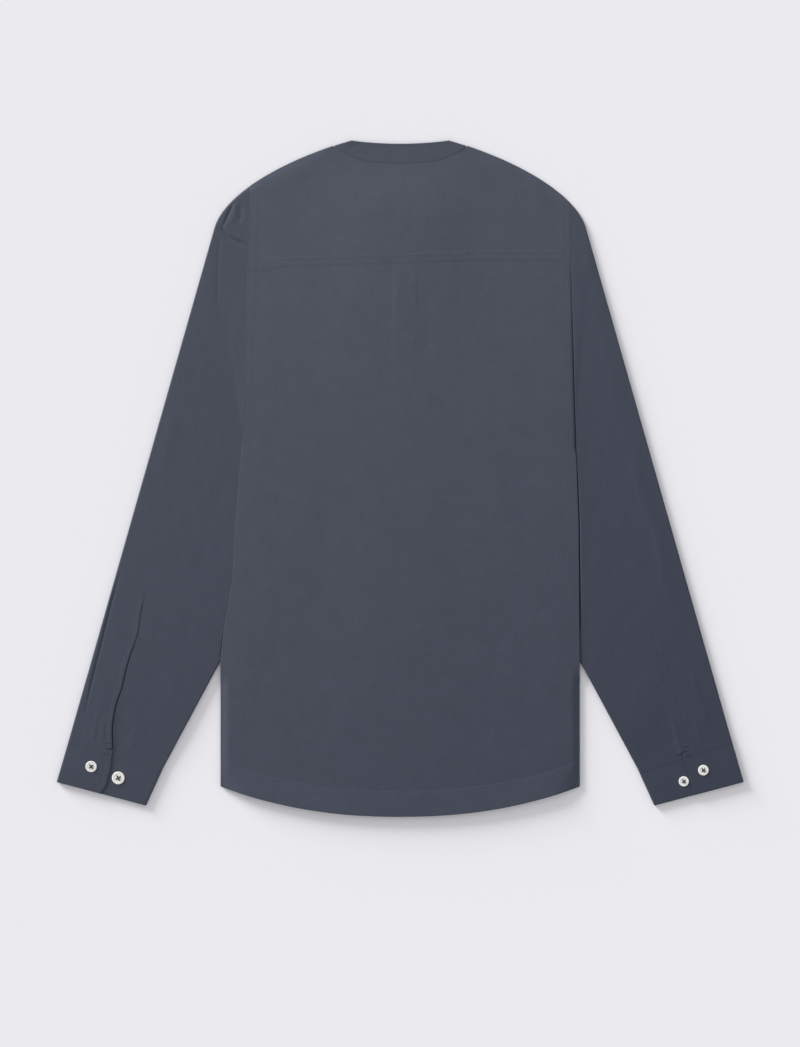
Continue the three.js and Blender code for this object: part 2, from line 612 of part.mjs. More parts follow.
function cuffPath(width, flapEnd) {
  const path = [];
  const outerRoll = (CUFF_FLAP - CUFF_LOW) / 2;
  const innerRoll = (CUFF_UNDERLAP - CUFF_LOW) / 2;
  const outerInset = outerRoll + STIFF_WALL / 2;
  const innerInset = innerRoll + STIFF_WALL / 2;
  const level = (from, to, height, facing, steps) => {
    for (let step = 0; step <= steps; step++) {
      path.push({ across: mix(from, to, step / steps), height, out: [0, facing] });
    }
  };
  const roll = (centre, middle, size, sign, first) => {
    for (const angle of [45, 0, -45].map((value) => value * first)) {
      const turn = THREE.MathUtils.degToRad(angle);
      const out = [sign * Math.cos(turn), Math.sin(turn)];
      path.push({ across: centre + out[0] * size, height: middle + out[1] * size, out });
    }
  };
  level(flapEnd * width, outerInset, CUFF_FLAP, 1, 5);
  roll(outerInset, CUFF_LOW + outerRoll, outerRoll, -1, 1);
  level(outerInset, width - innerInset, CUFF_LOW, -1, 6);
  roll(width - innerInset, CUFF_LOW + innerRoll, innerRoll, 1, -1);
  level(width - innerInset, UNDERLAP_SHARE * width, CUFF_UNDERLAP, 1, 6);
  return path;
}

function makeCuff(cuff) {
  const stations = CUFF_DEPTHS.map((depth) => {
    const outer = new THREE.Vector2(
      mix(CUFF_SEAM_OUTER.x, CUFF_OUTER.x, depth),
      mix(CUFF_SEAM_OUTER.y, CUFF_OUTER.y, depth),
    );
    const inner = new THREE.Vector2(
      mix(CUFF_SEAM_INNER.x, CUFF_INNER.x, depth),
      mix(CUFF_SEAM_INNER.y, CUFF_INNER.y, depth),
    );
    if (depth === 0) {
      outer.addScaledVector(sleeveRun, SEAM);
      inner.addScaledVector(sleeveRun, SEAM);
    }
    const width = outer.distanceTo(inner);
    const flapEnd = read(cuff.flap, "depth", depth, "share");
    return { outer, inner, width, path: cuffPath(width, flapEnd) };
  });
  const geometry = wallGeometry(stations[0].path.length, CUFF_DEPTHS.length, (i, j, side) => {
    const { outer, inner, width, path } = stations[j];
    const stop = path[i];
    const offset = (side - 0.5) * STIFF_WALL;
    const share = (stop.across + stop.out[0] * offset) / width;
    const x = cuff.side * mix(outer.x, inner.x, share);
    return [x, mix(outer.y, inner.y, share), stop.height + stop.out[1] * offset];
  });
  addPiece(`cuff_${cuff.name}`, geometry);
}

// A button: a turned disc with a raised rim and four sewing holes
function buttonDisc(radius, segments) {
  const profile = BUTTON_PROFILE.map(([out, up]) => new THREE.Vector2(out * radius, up * BUTTON_HEIGHT));
  const geometry = new THREE.LatheGeometry(profile, segments);
  geometry.rotateX(Math.PI / 2);
  return geometry;
}

function toSolid(geometry) {
  const source = geometry.toNonIndexed().getAttribute("position").array;
  const corners = new Map();
  const vertices = [];
  const triangles = [];
  for (let k = 0; k < source.length; k += 3) {
    const place = [source[k], source[k + 1], source[k + 2]].map((value) => Math.round(value * 1e4) / 1e4 + 0);
    const key = place.join();
    if (!corners.has(key)) {
      corners.set(key, vertices.length / 3);
      vertices.push(...place);
    }
    triangles.push(corners.get(key));
  }
  const whole = [];
  for (let k = 0; k < triangles.length; k += 3) {
    const [a, b, c] = triangles.slice(k, k + 3);
    if (a !== b && b !== c && a !== c) whole.push(a, b, c);
  }
  return new wasm.Manifold(new wasm.Mesh({
    numProp: 3,
    vertProperties: new Float32Array(vertices),
    triVerts: new Uint32Array(whole),
  }));
}

function toGeometry(solid) {
  const mesh = solid.getMesh();
  const geometry = new THREE.BufferGeometry();
  geometry.setAttribute("position", new THREE.BufferAttribute(mesh.vertProperties, 3));
  geometry.setIndex(new THREE.BufferAttribute(mesh.triVerts, 1));
  return geometry;
}

function sewnButton(radius) {
  const holeRadius = radius * BUTTON_HOLES.radius;
  const spread = (radius * BUTTON_HOLES.spread) / Math.SQRT2;
  let solid = toSolid(buttonDisc(radius, BUTTON_SIDES.cuff));
  for (const [sx, sy] of [[1, 1], [1, -1], [-1, 1], [-1, -1]]) {
    const hole = new THREE.CylinderGeometry(holeRadius, holeRadius, BUTTON_HEIGHT * 3, BUTTON_HOLES.sides);
    hole.rotateX(Math.PI / 2);
    hole.translate(sx * spread, sy * spread, 0);
    solid = solid.subtract(toSolid(hole));
  }
  return toGeometry(solid);
}

function makeCuffButtons() {
  for (const button of CUFF_BUTTONS) {
    const layer = button.on === "flap" ? CUFF_FLAP : CUFF_UNDERLAP;
    const geometry = sewnButton(button.radius);
    geometry.translate(button.x, button.y, layer + STIFF_WALL / 2 + SEAM);
    addPiece(button.name, geometry, buttonMaterial);
  }
}

function makeFrontButtons() {
  for (let k = 0; k < FRONT_BUTTONS.count; k++) {
    const geometry = toGeometry(toSolid(buttonDisc(FRONT_BUTTONS.radius, BUTTON_SIDES.front)));
    geometry.rotateX(Math.PI);
    geometry.translate(0, FRONT_BUTTONS.top + FRONT_BUTTONS.step * k, BUTTON_HEIGHT);
    addPiece(`front_button_${k + 1}`, geometry, buttonMaterial);
  }
}

makeBackPanel();
makeYoke();
makeFront("front_left", LEFT_FRONT_LINES, true, leftFrontLow);
makeFront("front_right", RIGHT_FRONT_LINES, false, rightFrontLow);
makeFrontPlacket();
makeCollarBand();
for (const cuff of CUFFS) {
  makeSleeve(`sleeve_${cuff.name}`, cuff.side);
  makeSleevePlacket(cuff);
  makeCuff(cuff);
}
makeCuffButtons();
makeFrontButtons();

export default shirt;
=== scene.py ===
import json
import math

import bpy
import numpy as np
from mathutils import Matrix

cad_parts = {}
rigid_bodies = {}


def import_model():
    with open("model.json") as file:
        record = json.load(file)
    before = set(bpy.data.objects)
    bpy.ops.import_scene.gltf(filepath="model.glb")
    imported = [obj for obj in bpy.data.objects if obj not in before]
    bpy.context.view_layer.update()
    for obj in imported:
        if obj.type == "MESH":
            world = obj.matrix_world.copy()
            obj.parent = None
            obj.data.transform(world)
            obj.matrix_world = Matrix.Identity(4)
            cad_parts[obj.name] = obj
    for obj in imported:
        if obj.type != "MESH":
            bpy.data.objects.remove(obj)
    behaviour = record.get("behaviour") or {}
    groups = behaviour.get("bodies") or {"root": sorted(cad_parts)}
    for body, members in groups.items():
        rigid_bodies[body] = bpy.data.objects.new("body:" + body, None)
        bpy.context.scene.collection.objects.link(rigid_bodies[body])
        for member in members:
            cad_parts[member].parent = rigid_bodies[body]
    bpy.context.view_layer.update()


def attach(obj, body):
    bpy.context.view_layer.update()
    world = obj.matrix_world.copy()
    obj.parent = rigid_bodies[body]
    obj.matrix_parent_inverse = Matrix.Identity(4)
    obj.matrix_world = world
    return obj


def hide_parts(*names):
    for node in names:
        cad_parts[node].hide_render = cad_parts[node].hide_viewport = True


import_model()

# The two fronts, cut from the same matt plain-woven cloth as the rest of the shirt. They lie face
# down on the surface, the left one up to its buttonhole strip, the right one on over that strip.
# At the sides the sleeves lie under them and hold them up.
MM = 0.001
CLOTH = 1.0
SEAM = 0.3
HALF_LENGTH = 371.5
ARMPIT_Y = 37
BAND_END_X = 74
BAND_END_Y = 366.4
FRONT_NECK_DEPTH = 81
SIDE_Y = [-372, -200, -166, -110, -50, ARMPIT_Y, 330]
# Side -1 is the wearer's left, at lower x, and side 1 the right. All sizes are in millimetres.
SIDE_X = {
    -1: [-197.4, -197.4, -193.8, -184.5, -181, -174, -164.8],
    1: [197.4, 197.3, 196.8, 196.4, 196.0, 193.0, 185.4],
}
TUCK_Y = [-200.6, -166, -130, -90, -50, -15, 6, 22, ARMPIT_Y]
TUCK_LIFTED = [14, 28, 36, 38, 34, 22, 16, 13, 12]
TUCK_RAMP = 26
SLEEVE_HEIGHT = 4.8
TUCKED_SLEEVE = 3.0
SIDE_LIFT = TUCKED_SLEEVE + 0.4
SIDE_SEAM_SHARE = 0.25
BUTTON_HEIGHT = 2.0
PLACKET_LIFT = BUTTON_HEIGHT + SEAM
UNDERLAP_LIFT = PLACKET_LIFT + CLOTH + SEAM
PLACKET_HALF = 16
UNDERLAP_EDGE = -13
CENTRE_RAMP = 26
INNER_EDGE = 120
NEAR_EDGE = np.array([0, 0.08, 0.25, 0.5, 1.2, 2.5, 4.5, 7, 9.4, 10.0, 10.6])
NEAR_ROWS = np.array([0, 0.08, 0.25, 0.5, 1.2, 2.5])
SEWN_EDGE = 0.38
FURROW_DEPTH = 0.7
FURROW_DEEPER = 2.0
# Painted shade in the cloth's colour: how much it darkens per metre to the right and per metre down, and how
# much of that the green and blue take, so that the shaded cloth turns bluer.
PAINTED_SHADE_ACROSS = -0.36
PAINTED_SHADE_DOWN = 0.44
PAINTED_SHADE_GREEN = 0.97
PAINTED_SHADE_BLUE = 0.76
SHOULDER_END = np.array([204.3, 275])
CUFF_OUTER = np.array([377.5, -333.5])
SLEEVE_RUN = (CUFF_OUTER - SHOULDER_END) / np.linalg.norm(CUFF_OUTER - SHOULDER_END)


def ease(value):
    value = np.clip(value, 0, 1)
    return value * value * (3 - 2 * value)


def mix(start, end, share):
    return start + (end - start) * share


def bezier(p0, p1, p2, p3, count=400):
    t = np.linspace(0, 1, count)[:, None]
    return (1 - t) ** 3 * p0 + 3 * t * (1 - t) ** 2 * p1 + 3 * t * t * (1 - t) * p2 + t**3 * p3


SHOULDER = bezier(
    np.array([54, HALF_LENGTH]),
    np.array([54 + 60 * 0.966, HALF_LENGTH - 60 * 0.259]),
    SHOULDER_END - 45 * SLEEVE_RUN,
    SHOULDER_END,
)


def shoulder_y(x):
    return np.interp(np.abs(x), SHOULDER[:, 0], SHOULDER[:, 1])


def side_x(side, y):
    return np.interp(y, SIDE_Y, SIDE_X[side])


def inwards(x, y):
    return np.where(x < 0, x - side_x(-1, y), side_x(1, y) - x)


def hem_y(x):
    return 33 * np.clip(np.abs(x) / 197.4, 0, 1) ** 2.2 - HALF_LENGTH


def front_top_y(x):
    share = np.clip(np.abs(x) / BAND_END_X, 0, 1)
    return np.where(share < 1, BAND_END_Y - FRONT_NECK_DEPTH * np.sqrt(1 - share**2), shoulder_y(x))


def side_share(y):
    return ease((y + 236) / 33) * ease((112 - y) / 70)


def placket_share(y):
    return ease((y + 330) / 40)


def front_side_lift(x, y):
    seam = np.where(y < ARMPIT_Y, np.maximum(side_share(y), SIDE_SEAM_SHARE), side_share(y))
    lifted = np.interp(y, TUCK_Y, TUCK_LIFTED)
    return SIDE_LIFT * seam * ease((lifted + TUCK_RAMP - inwards(x, y)) / TUCK_RAMP)


def furrow(x, y):
    """The right armhole seam has sunk in between the body and the sleeve, deeper towards the armpit."""
    depth = FURROW_DEPTH + FURROW_DEEPER * ease((230 - y) / 140)
    reach = np.where(inwards(x, y) < 0, 0.35, 1.0)
    along_seam = ease((250 - y) / 30) * ease((y - ARMPIT_Y + 12) / 12)
    return np.where(x > 0, depth * np.exp(-((inwards(x, y) / reach) ** 2)) * along_seam, 0)


def left_front_low(x, y):
    near = ease((x + PLACKET_HALF + CENTRE_RAMP) / CENTRE_RAMP)
    return front_side_lift(x, y) + PLACKET_LIFT * placket_share(y) * near


def right_front_low(x, y):
    lift = mix(CLOTH + SEAM, UNDERLAP_LIFT, placket_share(y))
    return front_side_lift(x, y) + lift * ease((PLACKET_HALF + CENTRE_RAMP + 2 - x) / CENTRE_RAMP)


def side_columns(side, count):
    """Columns inwards from a side edge: how far each follows the edge, its own part of x, its side."""
    share = np.linspace(0, 1, count + 1)[1:-1]
    follows = np.append(np.ones(len(NEAR_EDGE)), 1 - share)
    places = side * np.append(-NEAR_EDGE, share * INNER_EDGE - (1 - share) * NEAR_EDGE[-1])
    return np.stack([follows, places, np.full(len(places), side)])


def levels(length, pitch, marks=()):
    """Rows of a panel about this long, as a share of its height and a length added to that. They lie
    close together at both ends and at the marks, which are lengths above its lower edge."""
    steps = [*NEAR_ROWS]
    for mark in marks:
        steps += [*np.arange(steps[-1] + pitch, mark - pitch * 0.7, pitch)]
        steps += [*(mark + np.array([-0.6, -0.3, 0, 0.3, 0.6]))]
    inner = np.linspace(0, 1, int((length - steps[-1]) / pitch))[1:-1]
    share = np.concatenate([np.zeros(len(steps)), inner, np.ones(len(NEAR_ROWS))])
    added = np.concatenate([steps, mix(steps[-1], -NEAR_ROWS[-1], inner), -NEAR_ROWS[::-1]])
    return share[:, None], added[:, None]


def body_grid(lines, low_at, high_at, rows, left=True, right=True, pitch=2.6):
    """x and y of a panel: its outer columns follow the side edges, its rows lie from low_at to high_at."""
    count = int((180 - INNER_EDGE) / pitch)
    parts = [np.stack([np.zeros(len(lines)), lines, np.ones(len(lines))])]
    if left:
        parts.insert(0, side_columns(-1, count))
    if right:
        parts.append(side_columns(1, count)[:, ::-1])
    follows, places, side = np.concatenate(parts, axis=1)
    share, added = rows
    x = (190 * side * follows + places)[None, :]
    for _ in range(4):
        y = mix(low_at(x), high_at(x), share) + added
        x = follows * np.where(side < 0, side_x(-1, y), side_x(1, y)) + places
    return x, y


def wall(name, low, high, flat, closed=False):
    """A closed shell between two grids of points. flat is each point's place on the cut cloth, and
    closed joins the last column to the first, as on a tube."""
    rows, columns = low.shape[:2]
    spans = columns if closed else columns - 1
    kept = np.ones((rows - 1, spans), bool)
    corners = []

    def quads(where, steps):
        j, i = np.nonzero(where)
        corners.append(np.stack([np.stack([j + dj, i + di, j * 0 + up], 1) for dj, di, up in steps], 1))

    around = np.pad(kept, ((1, 1), (0, 0)))
    around = np.pad(around, ((0, 0), (1, 1)), mode="wrap") if closed else np.pad(around, ((0, 0), (1, 1)))
    quads(kept, [(0, 0, 1), (0, 1, 1), (1, 1, 1), (1, 0, 1)])
    quads(kept, [(0, 0, 0), (1, 0, 0), (1, 1, 0), (0, 1, 0)])
    quads(kept & ~around[:-2, 1:-1], [(0, 0, 0), (0, 1, 0), (0, 1, 1), (0, 0, 1)])
    quads(kept & ~around[2:, 1:-1], [(1, 0, 0), (1, 0, 1), (1, 1, 1), (1, 1, 0)])
    quads(kept & ~around[1:-1, :-2], [(0, 0, 0), (0, 0, 1), (1, 0, 1), (1, 0, 0)])
    quads(kept & ~around[1:-1, 2:], [(0, 1, 0), (1, 1, 0), (1, 1, 1), (0, 1, 1)])
    corners = np.concatenate(corners)
    row, column, up = np.moveaxis(corners, -1, 0)
    faces = (up * rows + row) * columns + column % columns
    points = np.concatenate([low.reshape(-1, 3), high.reshape(-1, 3)]) * MM
    grain = flat[row, column] * MM
    p0, p1, p2, p3 = (points[faces[:, k]] for k in range(4))
    if np.sum(p0 * np.cross(p1, p2) + p0 * np.cross(p2, p3)) < 0:
        faces = faces[:, ::-1]
        grain = grain[:, ::-1]
    used, numbers = np.unique(faces, return_inverse=True)
    faces = numbers.reshape(faces.shape)
    mesh = bpy.data.meshes.new(name)
    mesh.from_pydata(points[used].tolist(), [], faces.tolist())
    layer = mesh.uv_layers.new(name="grain")
    layer.data.foreach_set("uv", grain.astype(np.float32).ravel())
    mesh.shade_smooth()
    mesh.set_sharp_from_angle(angle=math.radians(42))
    piece = bpy.data.objects.new(name, mesh)
    bpy.context.collection.objects.link(piece)
    return piece


def along(points, axis):
    """Length along the grid lines, from the first point."""
    step = np.linalg.norm(np.diff(points, axis=axis), axis=-1)
    return np.concatenate([np.zeros_like(np.take(step, [0], axis)), np.cumsum(step, axis)], axis)


def from_edge(points, closed=False):
    """Way from each grid point to the nearest edge of its sheet, along the grid's own lines."""
    ways = []
    for axis in (0,) if closed else (0, 1):
        run = along(points, axis)
        ways.append(np.minimum(run, np.take(run, [-1], axis) - run))
    return np.minimum.reduce(ways)


def rounded(way, thickness):
    """Half of a wall's thickness this far from its edge, which is rounded."""
    half = thickness / 2
    turn = np.clip(way / half, 0, 1)
    return half * np.sqrt(1 - (1 - turn) ** 2) + 0.01


def panel(name, x, y, low, rise=0.0, thickness=CLOTH, sewn=0.0):
    """A panel whose underside is at low. rise is what is added to its upper face. sewn is 1 where its
    edge is sewn to a neighbour, and so less rounded."""
    plan = np.dstack([x, y])
    way = from_edge(plan)
    half = mix(rounded(way, thickness), rounded(way + SEWN_EDGE, thickness), sewn)
    middle = low + thickness / 2
    lower = np.dstack([x, y, middle - half])
    upper = np.dstack([x, y, middle + half + rise * half / thickness * 2])
    return wall(name, lower, upper, plan)


class Wire:
    """A shader socket that sums can use: an expression adds its own Math nodes."""

    def __init__(self, finish, socket):
        self.finish = finish
        self.socket = socket

    def sum(self, operation, first, second):
        made = self.finish.node("ShaderNodeMath", {"operation": operation}, {0: first, 1: second})
        return made["Value"]

    def __add__(self, other):
        return self.sum("ADD", self, other)

    def __sub__(self, other):
        return self.sum("SUBTRACT", self, other)

    def __mul__(self, other):
        return self.sum("MULTIPLY", self, other)

    def __radd__(self, other):
        return self.sum("ADD", other, self)

    def __rsub__(self, other):
        return self.sum("SUBTRACT", other, self)

    def __rmul__(self, other):
        return self.sum("MULTIPLY", other, self)

    def sine(self):
        return self.sum("SINE", self, 0.0)


class Finish:
    """A material. node() takes a type, its settings and its sockets, and gives its outputs by name."""

    def __init__(self, name):
        self.material = bpy.data.materials.new(name)
        self.material.use_nodes = True
        self.tree = self.material.node_tree
        self.shader = self.tree.nodes["Principled BSDF"]

    def node(self, kind, settings=(), inputs=()):
        made = self.tree.nodes.new(kind)
        for key, value in dict(settings).items():
            setattr(made, key, value)
        for key, value in dict(inputs).items():
            self.feed(made.inputs[key], value)
        return {out.name: Wire(self, out) for out in made.outputs if out.enabled}

    def feed(self, socket, value):
        if isinstance(value, Wire):
            self.tree.links.new(value.socket, socket)
        else:
            socket.default_value = value

    def blend(self, share, first, second):
        made = self.node(
            "ShaderNodeMix", {"data_type": "RGBA"}, {"Factor": share, 6: (*first, 1.0), 7: (*second, 1.0)}
        )
        return made["Result"]

    def faded(self, colour, shade):
        """Painted shade: a little lighter towards the collar and the left, darker towards the hem and the
        right, and bluer where it is darker.
        """
        spot = self.node("ShaderNodeSeparateXYZ", inputs={0: self.node("ShaderNodeTexCoord")["Object"]})
        # depth is the painted shade, lower towards the hem and the right.
        depth = (spot["X"] * PAINTED_SHADE_ACROSS + spot["Y"] * PAINTED_SHADE_DOWN + 1.0) * shade
        green = depth * PAINTED_SHADE_GREEN + (1 - PAINTED_SHADE_GREEN)
        blue = depth * PAINTED_SHADE_BLUE + (1 - PAINTED_SHADE_BLUE)
        painted_shade_factor = self.node("ShaderNodeCombineXYZ", inputs={0: depth, 1: green, 2: blue})
        shaded_colour = self.node("ShaderNodeVectorMath", {"operation": "MULTIPLY"}, {0: colour, 1: painted_shade_factor["Vector"]})
        return shaded_colour["Vector"]

    def surface(self, **sockets):
        for key, value in sockets.items():
            self.feed(self.shader.inputs[key.replace("_", " ")], value)


CLOTH_DARK = (0.0427, 0.0502, 0.0720)
CLOTH_LIGHT = (0.0692, 0.0802, 0.1093)
THREAD_PITCH = 0.00052


def woven(name, shade=1.0):
    """The shirt's cloth: a plain weave with thicker yarns here and there, both ways, with painted
    shade over it, darker from collar to hem and from left to right; shade darkens the whole piece."""
    look = Finish(name)
    place = look.node("ShaderNodeUVMap", {"uv_map": "grain"})["UV"]
    split = look.node("ShaderNodeSeparateXYZ", inputs={0: place})
    across = split["X"]
    down = split["Y"]

    def streaks(width, length, seed, detail=2.0):
        stretched = {0: across * (1 / width), 1: down * (1 / length), 2: seed}
        point = look.node("ShaderNodeCombineXYZ", inputs=stretched)
        noise = look.node(
            "ShaderNodeTexNoise", inputs={"Vector": point["Vector"], "Scale": 1.0, "Detail": detail}
        )
        return noise["Fac"]

    warp = streaks(0.0009, 0.016, 3.1)
    weft = streaks(0.013, 0.0009, 8.7)
    clouds = streaks(0.018, 0.026, 5.3, 3.0)
    grain = streaks(0.0021, 0.0021, 1.9)
    turn = math.pi / THREAD_PITCH
    weave = (across * turn).sine() * (down * turn).sine()
    tone = (warp + weft) * 0.5 + clouds * 0.35 + grain * 0.3 + weave * 0.05 - 0.325
    # The weave's own tones, with painted shade over them.
    shaded_colour = look.faded(look.blend(tone, CLOTH_DARK, CLOTH_LIGHT), shade)
    relief = weave * 0.35 + (warp + weft) * 0.8
    bump = look.node("ShaderNodeBump", inputs={"Strength": 0.35, "Distance": 0.0001, "Height": relief})
    look.surface(Base_Color=shaded_colour, Normal=bump["Normal"])
    look.surface(Roughness=0.92, Specular_IOR_Level=0.25, Sheen_Weight=0.06, Sheen_Roughness=0.6)
    return look.material


def dress(piece, node, material):
    piece.data.materials.append(material)
    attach(piece, "root")
    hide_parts(node)


body_cloth = woven("body cloth")
neck_lines = np.array([
    40, 46, 52, 57, 61, 64, 67, 69, 70.5, 71.8, 72.8, 73.4, 73.8, 74, 75, 78, 82, 88, 95, 103, 112,
])
seam_steps = np.array([0, 0.08, 0.25, 0.5, 1.2, 2.7, 5.7, 8.7, 11.7, 14.7, 17.7, 20.7])
placket_lines = PLACKET_HALF + SEAM + seam_steps
underlap_lines = UNDERLAP_EDGE + np.array([0, 0.08, 0.25, 0.5, 1.2, 3])
left_lines = -np.append(placket_lines, neck_lines)[::-1]
right_lines = np.concatenate([underlap_lines, np.arange(-8, 38, 3), neck_lines])
for node, lines, low_at, cut_width, cut_area in (
    ("front_left", left_lines, left_front_low, 0.182, 0.115),
    ("front_right", right_lines, right_front_low, 0.211, 0.142),
):
    is_left = node == "front_left"
    rows = levels(700, 6)
    x, y = body_grid(lines, hem_y, lambda x: front_top_y(x) - SEAM / 2, rows, is_left, not is_left, 4.0)
    piece = panel(node + "_cloth", x, y, np.maximum(low_at(x, y) - furrow(x, y), 0))
    dress(piece, node, body_cloth)

# The strip with the buttonholes down the middle front, a band of the same cloth sewn to the left
# front. It lies between the two fronts, over the buttons.
PLACKET_ROWS = 4.0
x = np.concatenate([NEAR_ROWS, np.arange(4, 29, 3), 32 - NEAR_ROWS[::-1]])[None, :] - PLACKET_HALF
share, added = levels(660, PLACKET_ROWS)
y = mix(hem_y(x), front_top_y(x) - SEAM / 2, share) + added
x = np.broadcast_to(x, y.shape)
piece = panel("front_placket_cloth", x, y, PLACKET_LIFT * placket_share(y))
dress(piece, "front_placket", body_cloth)

# The sleeves, one tube each, sewn into the armholes and laid beside the body with their inner
# edges under it. Each has a slit above the cuff, which is pleated into the cuff seam.
SLEEVE_TOP_Y = {-1: 321, 1: 303}
SLEEVE_LENGTH = 620
ARMHOLE_GAP = 0.02
UPPER_SLEEVE_HEIGHT = {-1: 3.5, 1: 3.7}
TUCK_INSET = [0, 14, 24, 26, 22, 15, 9, 5, 0]
CUFF_INNER = np.array([279.3, -359.5])
CUFF_SEAM_OUTER = np.array([363, -283.5])
CUFF_SEAM_INNER = np.array([260.7, -318.5])
ARMHOLE_REACH = 0.13
FOLD_INSET = 0.0105
NECK_REST = 2.0
FIELD_REST = 4.2
HEM_REST = 4.9
OVER_SLEEVE_REACH = 75
OVER_SLEEVE_RAMP = 80
OVER_STRIP_REACH = 105
OVER_STRIP_RAMP = 85
BACK_OVER_PLACKET = UNDERLAP_LIFT + CLOTH + SEAM
BACK_OVER_SLEEVE = SIDE_LIFT + CLOTH + SEAM + 0.1


def back_side_share(y):
    return ease((y + 250) / 50) * ease((240 - y) / 200)


def back_low(x, y):
    """Underside of the back: over the sleeves at the sides and over the buttonhole strip."""
    from_side = inwards(x, y)
    rest = mix(NECK_REST, FIELD_REST, ease((345 - y) / 260))
    span = BACK_OVER_SLEEVE - rest
    lifted = np.interp(y, TUCK_Y, TUCK_LIFTED) + OVER_SLEEVE_REACH
    over_sleeve = back_side_share(y) * ease((lifted - from_side) / OVER_SLEEVE_RAMP)
    placket_top = mix(HEM_REST, BACK_OVER_PLACKET, placket_share(y))
    near_middle = ease((OVER_STRIP_REACH - np.abs(x)) / OVER_STRIP_RAMP)
    over_placket = (placket_top - rest) / span * near_middle * ease((350 - y) / 64)
    field = rest + span * (1 - (1 - over_sleeve) * (1 - over_placket))
    front_top = np.where(x < 0, left_front_low(x, y), right_front_low(x, y)) + CLOTH + SEAM
    front_edge = mix(rest, front_top, ease((front_top_y(x) + 6 - y) / 12 + (np.abs(x) > BAND_END_X)))
    at_hem = np.maximum(front_edge, np.minimum(HEM_REST, front_edge + from_side / 9))
    hung = np.maximum(front_edge, mix(at_hem, field, ease((y - hem_y(x)) / 30)))
    side_roll = np.maximum(ease(from_side / 9), ease((y - ARMPIT_Y) / 30))
    top_roll = ease((shoulder_y(x) - y) / 8) + 1 - ease((np.abs(x) - BAND_END_X) / 20)
    return mix(CLOTH + SEAM, mix(front_edge, hung, side_roll), np.clip(top_roll, 0, 1))


def resample(points, count, shares=None):
    """Points evenly along a path, or at the given shares of its length."""
    run = along(points, 0)
    at = (np.linspace(0, 1, count) if shares is None else shares) * run[-1]
    return np.stack([np.interp(at, run, points[:, k]) for k in range(points.shape[1])], 1)


def smooth_path(points, count):
    """A smooth curve through a few points."""
    padded = np.concatenate([[2 * points[0] - points[1]], points, [2 * points[-1] - points[-2]]])
    pieces = []
    for k in range(len(points) - 1):
        a, b, c, d = padded[k : k + 4]
        t = np.linspace(0, 1, 24)[:, None]
        first = (c - a) * t / 2
        second = (2 * a - 5 * b + 4 * c - d) * t**2 / 2
        third = (3 * b - a - 3 * c + d) * t**3 / 2
        pieces.append(b + first + second + third)
    return resample(np.concatenate(pieces), count)


def from_path(x, y, path):
    """Way from each grid point to a path, and how far along the path its nearest point is."""
    path = np.array(path, float)
    lengths = np.linalg.norm(np.diff(path, axis=0), axis=1)
    starts = np.append(0, np.cumsum(lengths))
    best = np.full(x.shape, 1e9)
    share = np.zeros(x.shape)
    side = np.zeros(x.shape)
    for a, b, length, start in zip(path[:-1], path[1:], lengths, starts):
        run = (b - a) / length
        t = np.clip((x - a[0]) * run[0] + (y - a[1]) * run[1], 0, length)
        dx = x - a[0] - run[0] * t
        dy = y - a[1] - run[1] * t
        way = np.hypot(dx, dy)
        near = way < best
        best = np.where(near, way, best)
        share = np.where(near, (start + t) / starts[-1], share)
        side = np.where(near, np.sign(run[0] * dy - run[1] * dx), side)
    return best, share, side


def crease(x, y, path, width, rise, lean=0.0):
    """A soft fold along a path: a ridge, or a trough where rise is below 0, that dies out at both
    ends. lean shifts its foot to one side, as where a fold has fallen over."""
    way, share, side = from_path(x, y, path)
    reach = width * (1 + lean * side)
    across = np.exp(-((way / reach) ** 2) * 2)
    return rise * across * ease(share * 4) * ease((1 - share) * 4)


def creases(x, y, folds):
    total = np.zeros(x.shape)
    for path, width, rise, lean in folds:
        total += crease(x, y, path, width, rise, lean)
    return total


WAVE_LENGTHS = (46, 73, 58, 95, 131, 38)


def waves(x, y, seed, height=0.08):
    """Very low uneven waves, as in pressed cloth that has been laid down."""
    turns = np.random.default_rng(seed).uniform(0, math.tau, 12)
    total = np.zeros(x.shape)
    for k, length in enumerate(WAVE_LENGTHS):
        angle = 0.5 + k * 1.13
        run = (x * math.cos(angle) + y * math.sin(angle)) / length * math.tau
        across = (x * math.sin(angle) - y * math.cos(angle)) / (length * 1.7)
        bent = run + 0.9 * np.sin(across + turns[k + 6])
        total += np.sin(bent + turns[k]) * (0.35 if length < 50 else 1)
    return height * (1 + total / 6)


SLIT_LEAD = 40
SLIT_PATH = {
    -1: [
        (-279.5, -122), (-281.8, -133.6), (-285, -146.9), (-288.8, -172.2), (-296.1, -192), (-301.7, -210.7),
        (-305.7, -228.9), (-311.4, -244.8), (-314.8, -259.6), (-316.7, -275.6), (-316.2, -296.5),
    ],
    1: [
        (266, -146), (269.3, -156.8), (280.3, -185.4), (291, -226), (297.9, -254.7), (305, -279),
        (309.2, -300.5),
    ],
}
STRIP_WIDTH = 9
STRIP_PROUD = {-1: 0.3, 1: 0.03}
SLIT_WIDTH = {-1: 0.8, 1: 0.8}
SLIT_DEPTH = {-1: 2.2, 1: 0.1}
SLIT_STEPS = np.array([-8, -5, -3, -1.6, -1.25, -1.1, -0.85, -0.5, -0.35, -0.1, 0.2, 2, 4.5, 7, 9.5])
CUFF_STEP = 0.95
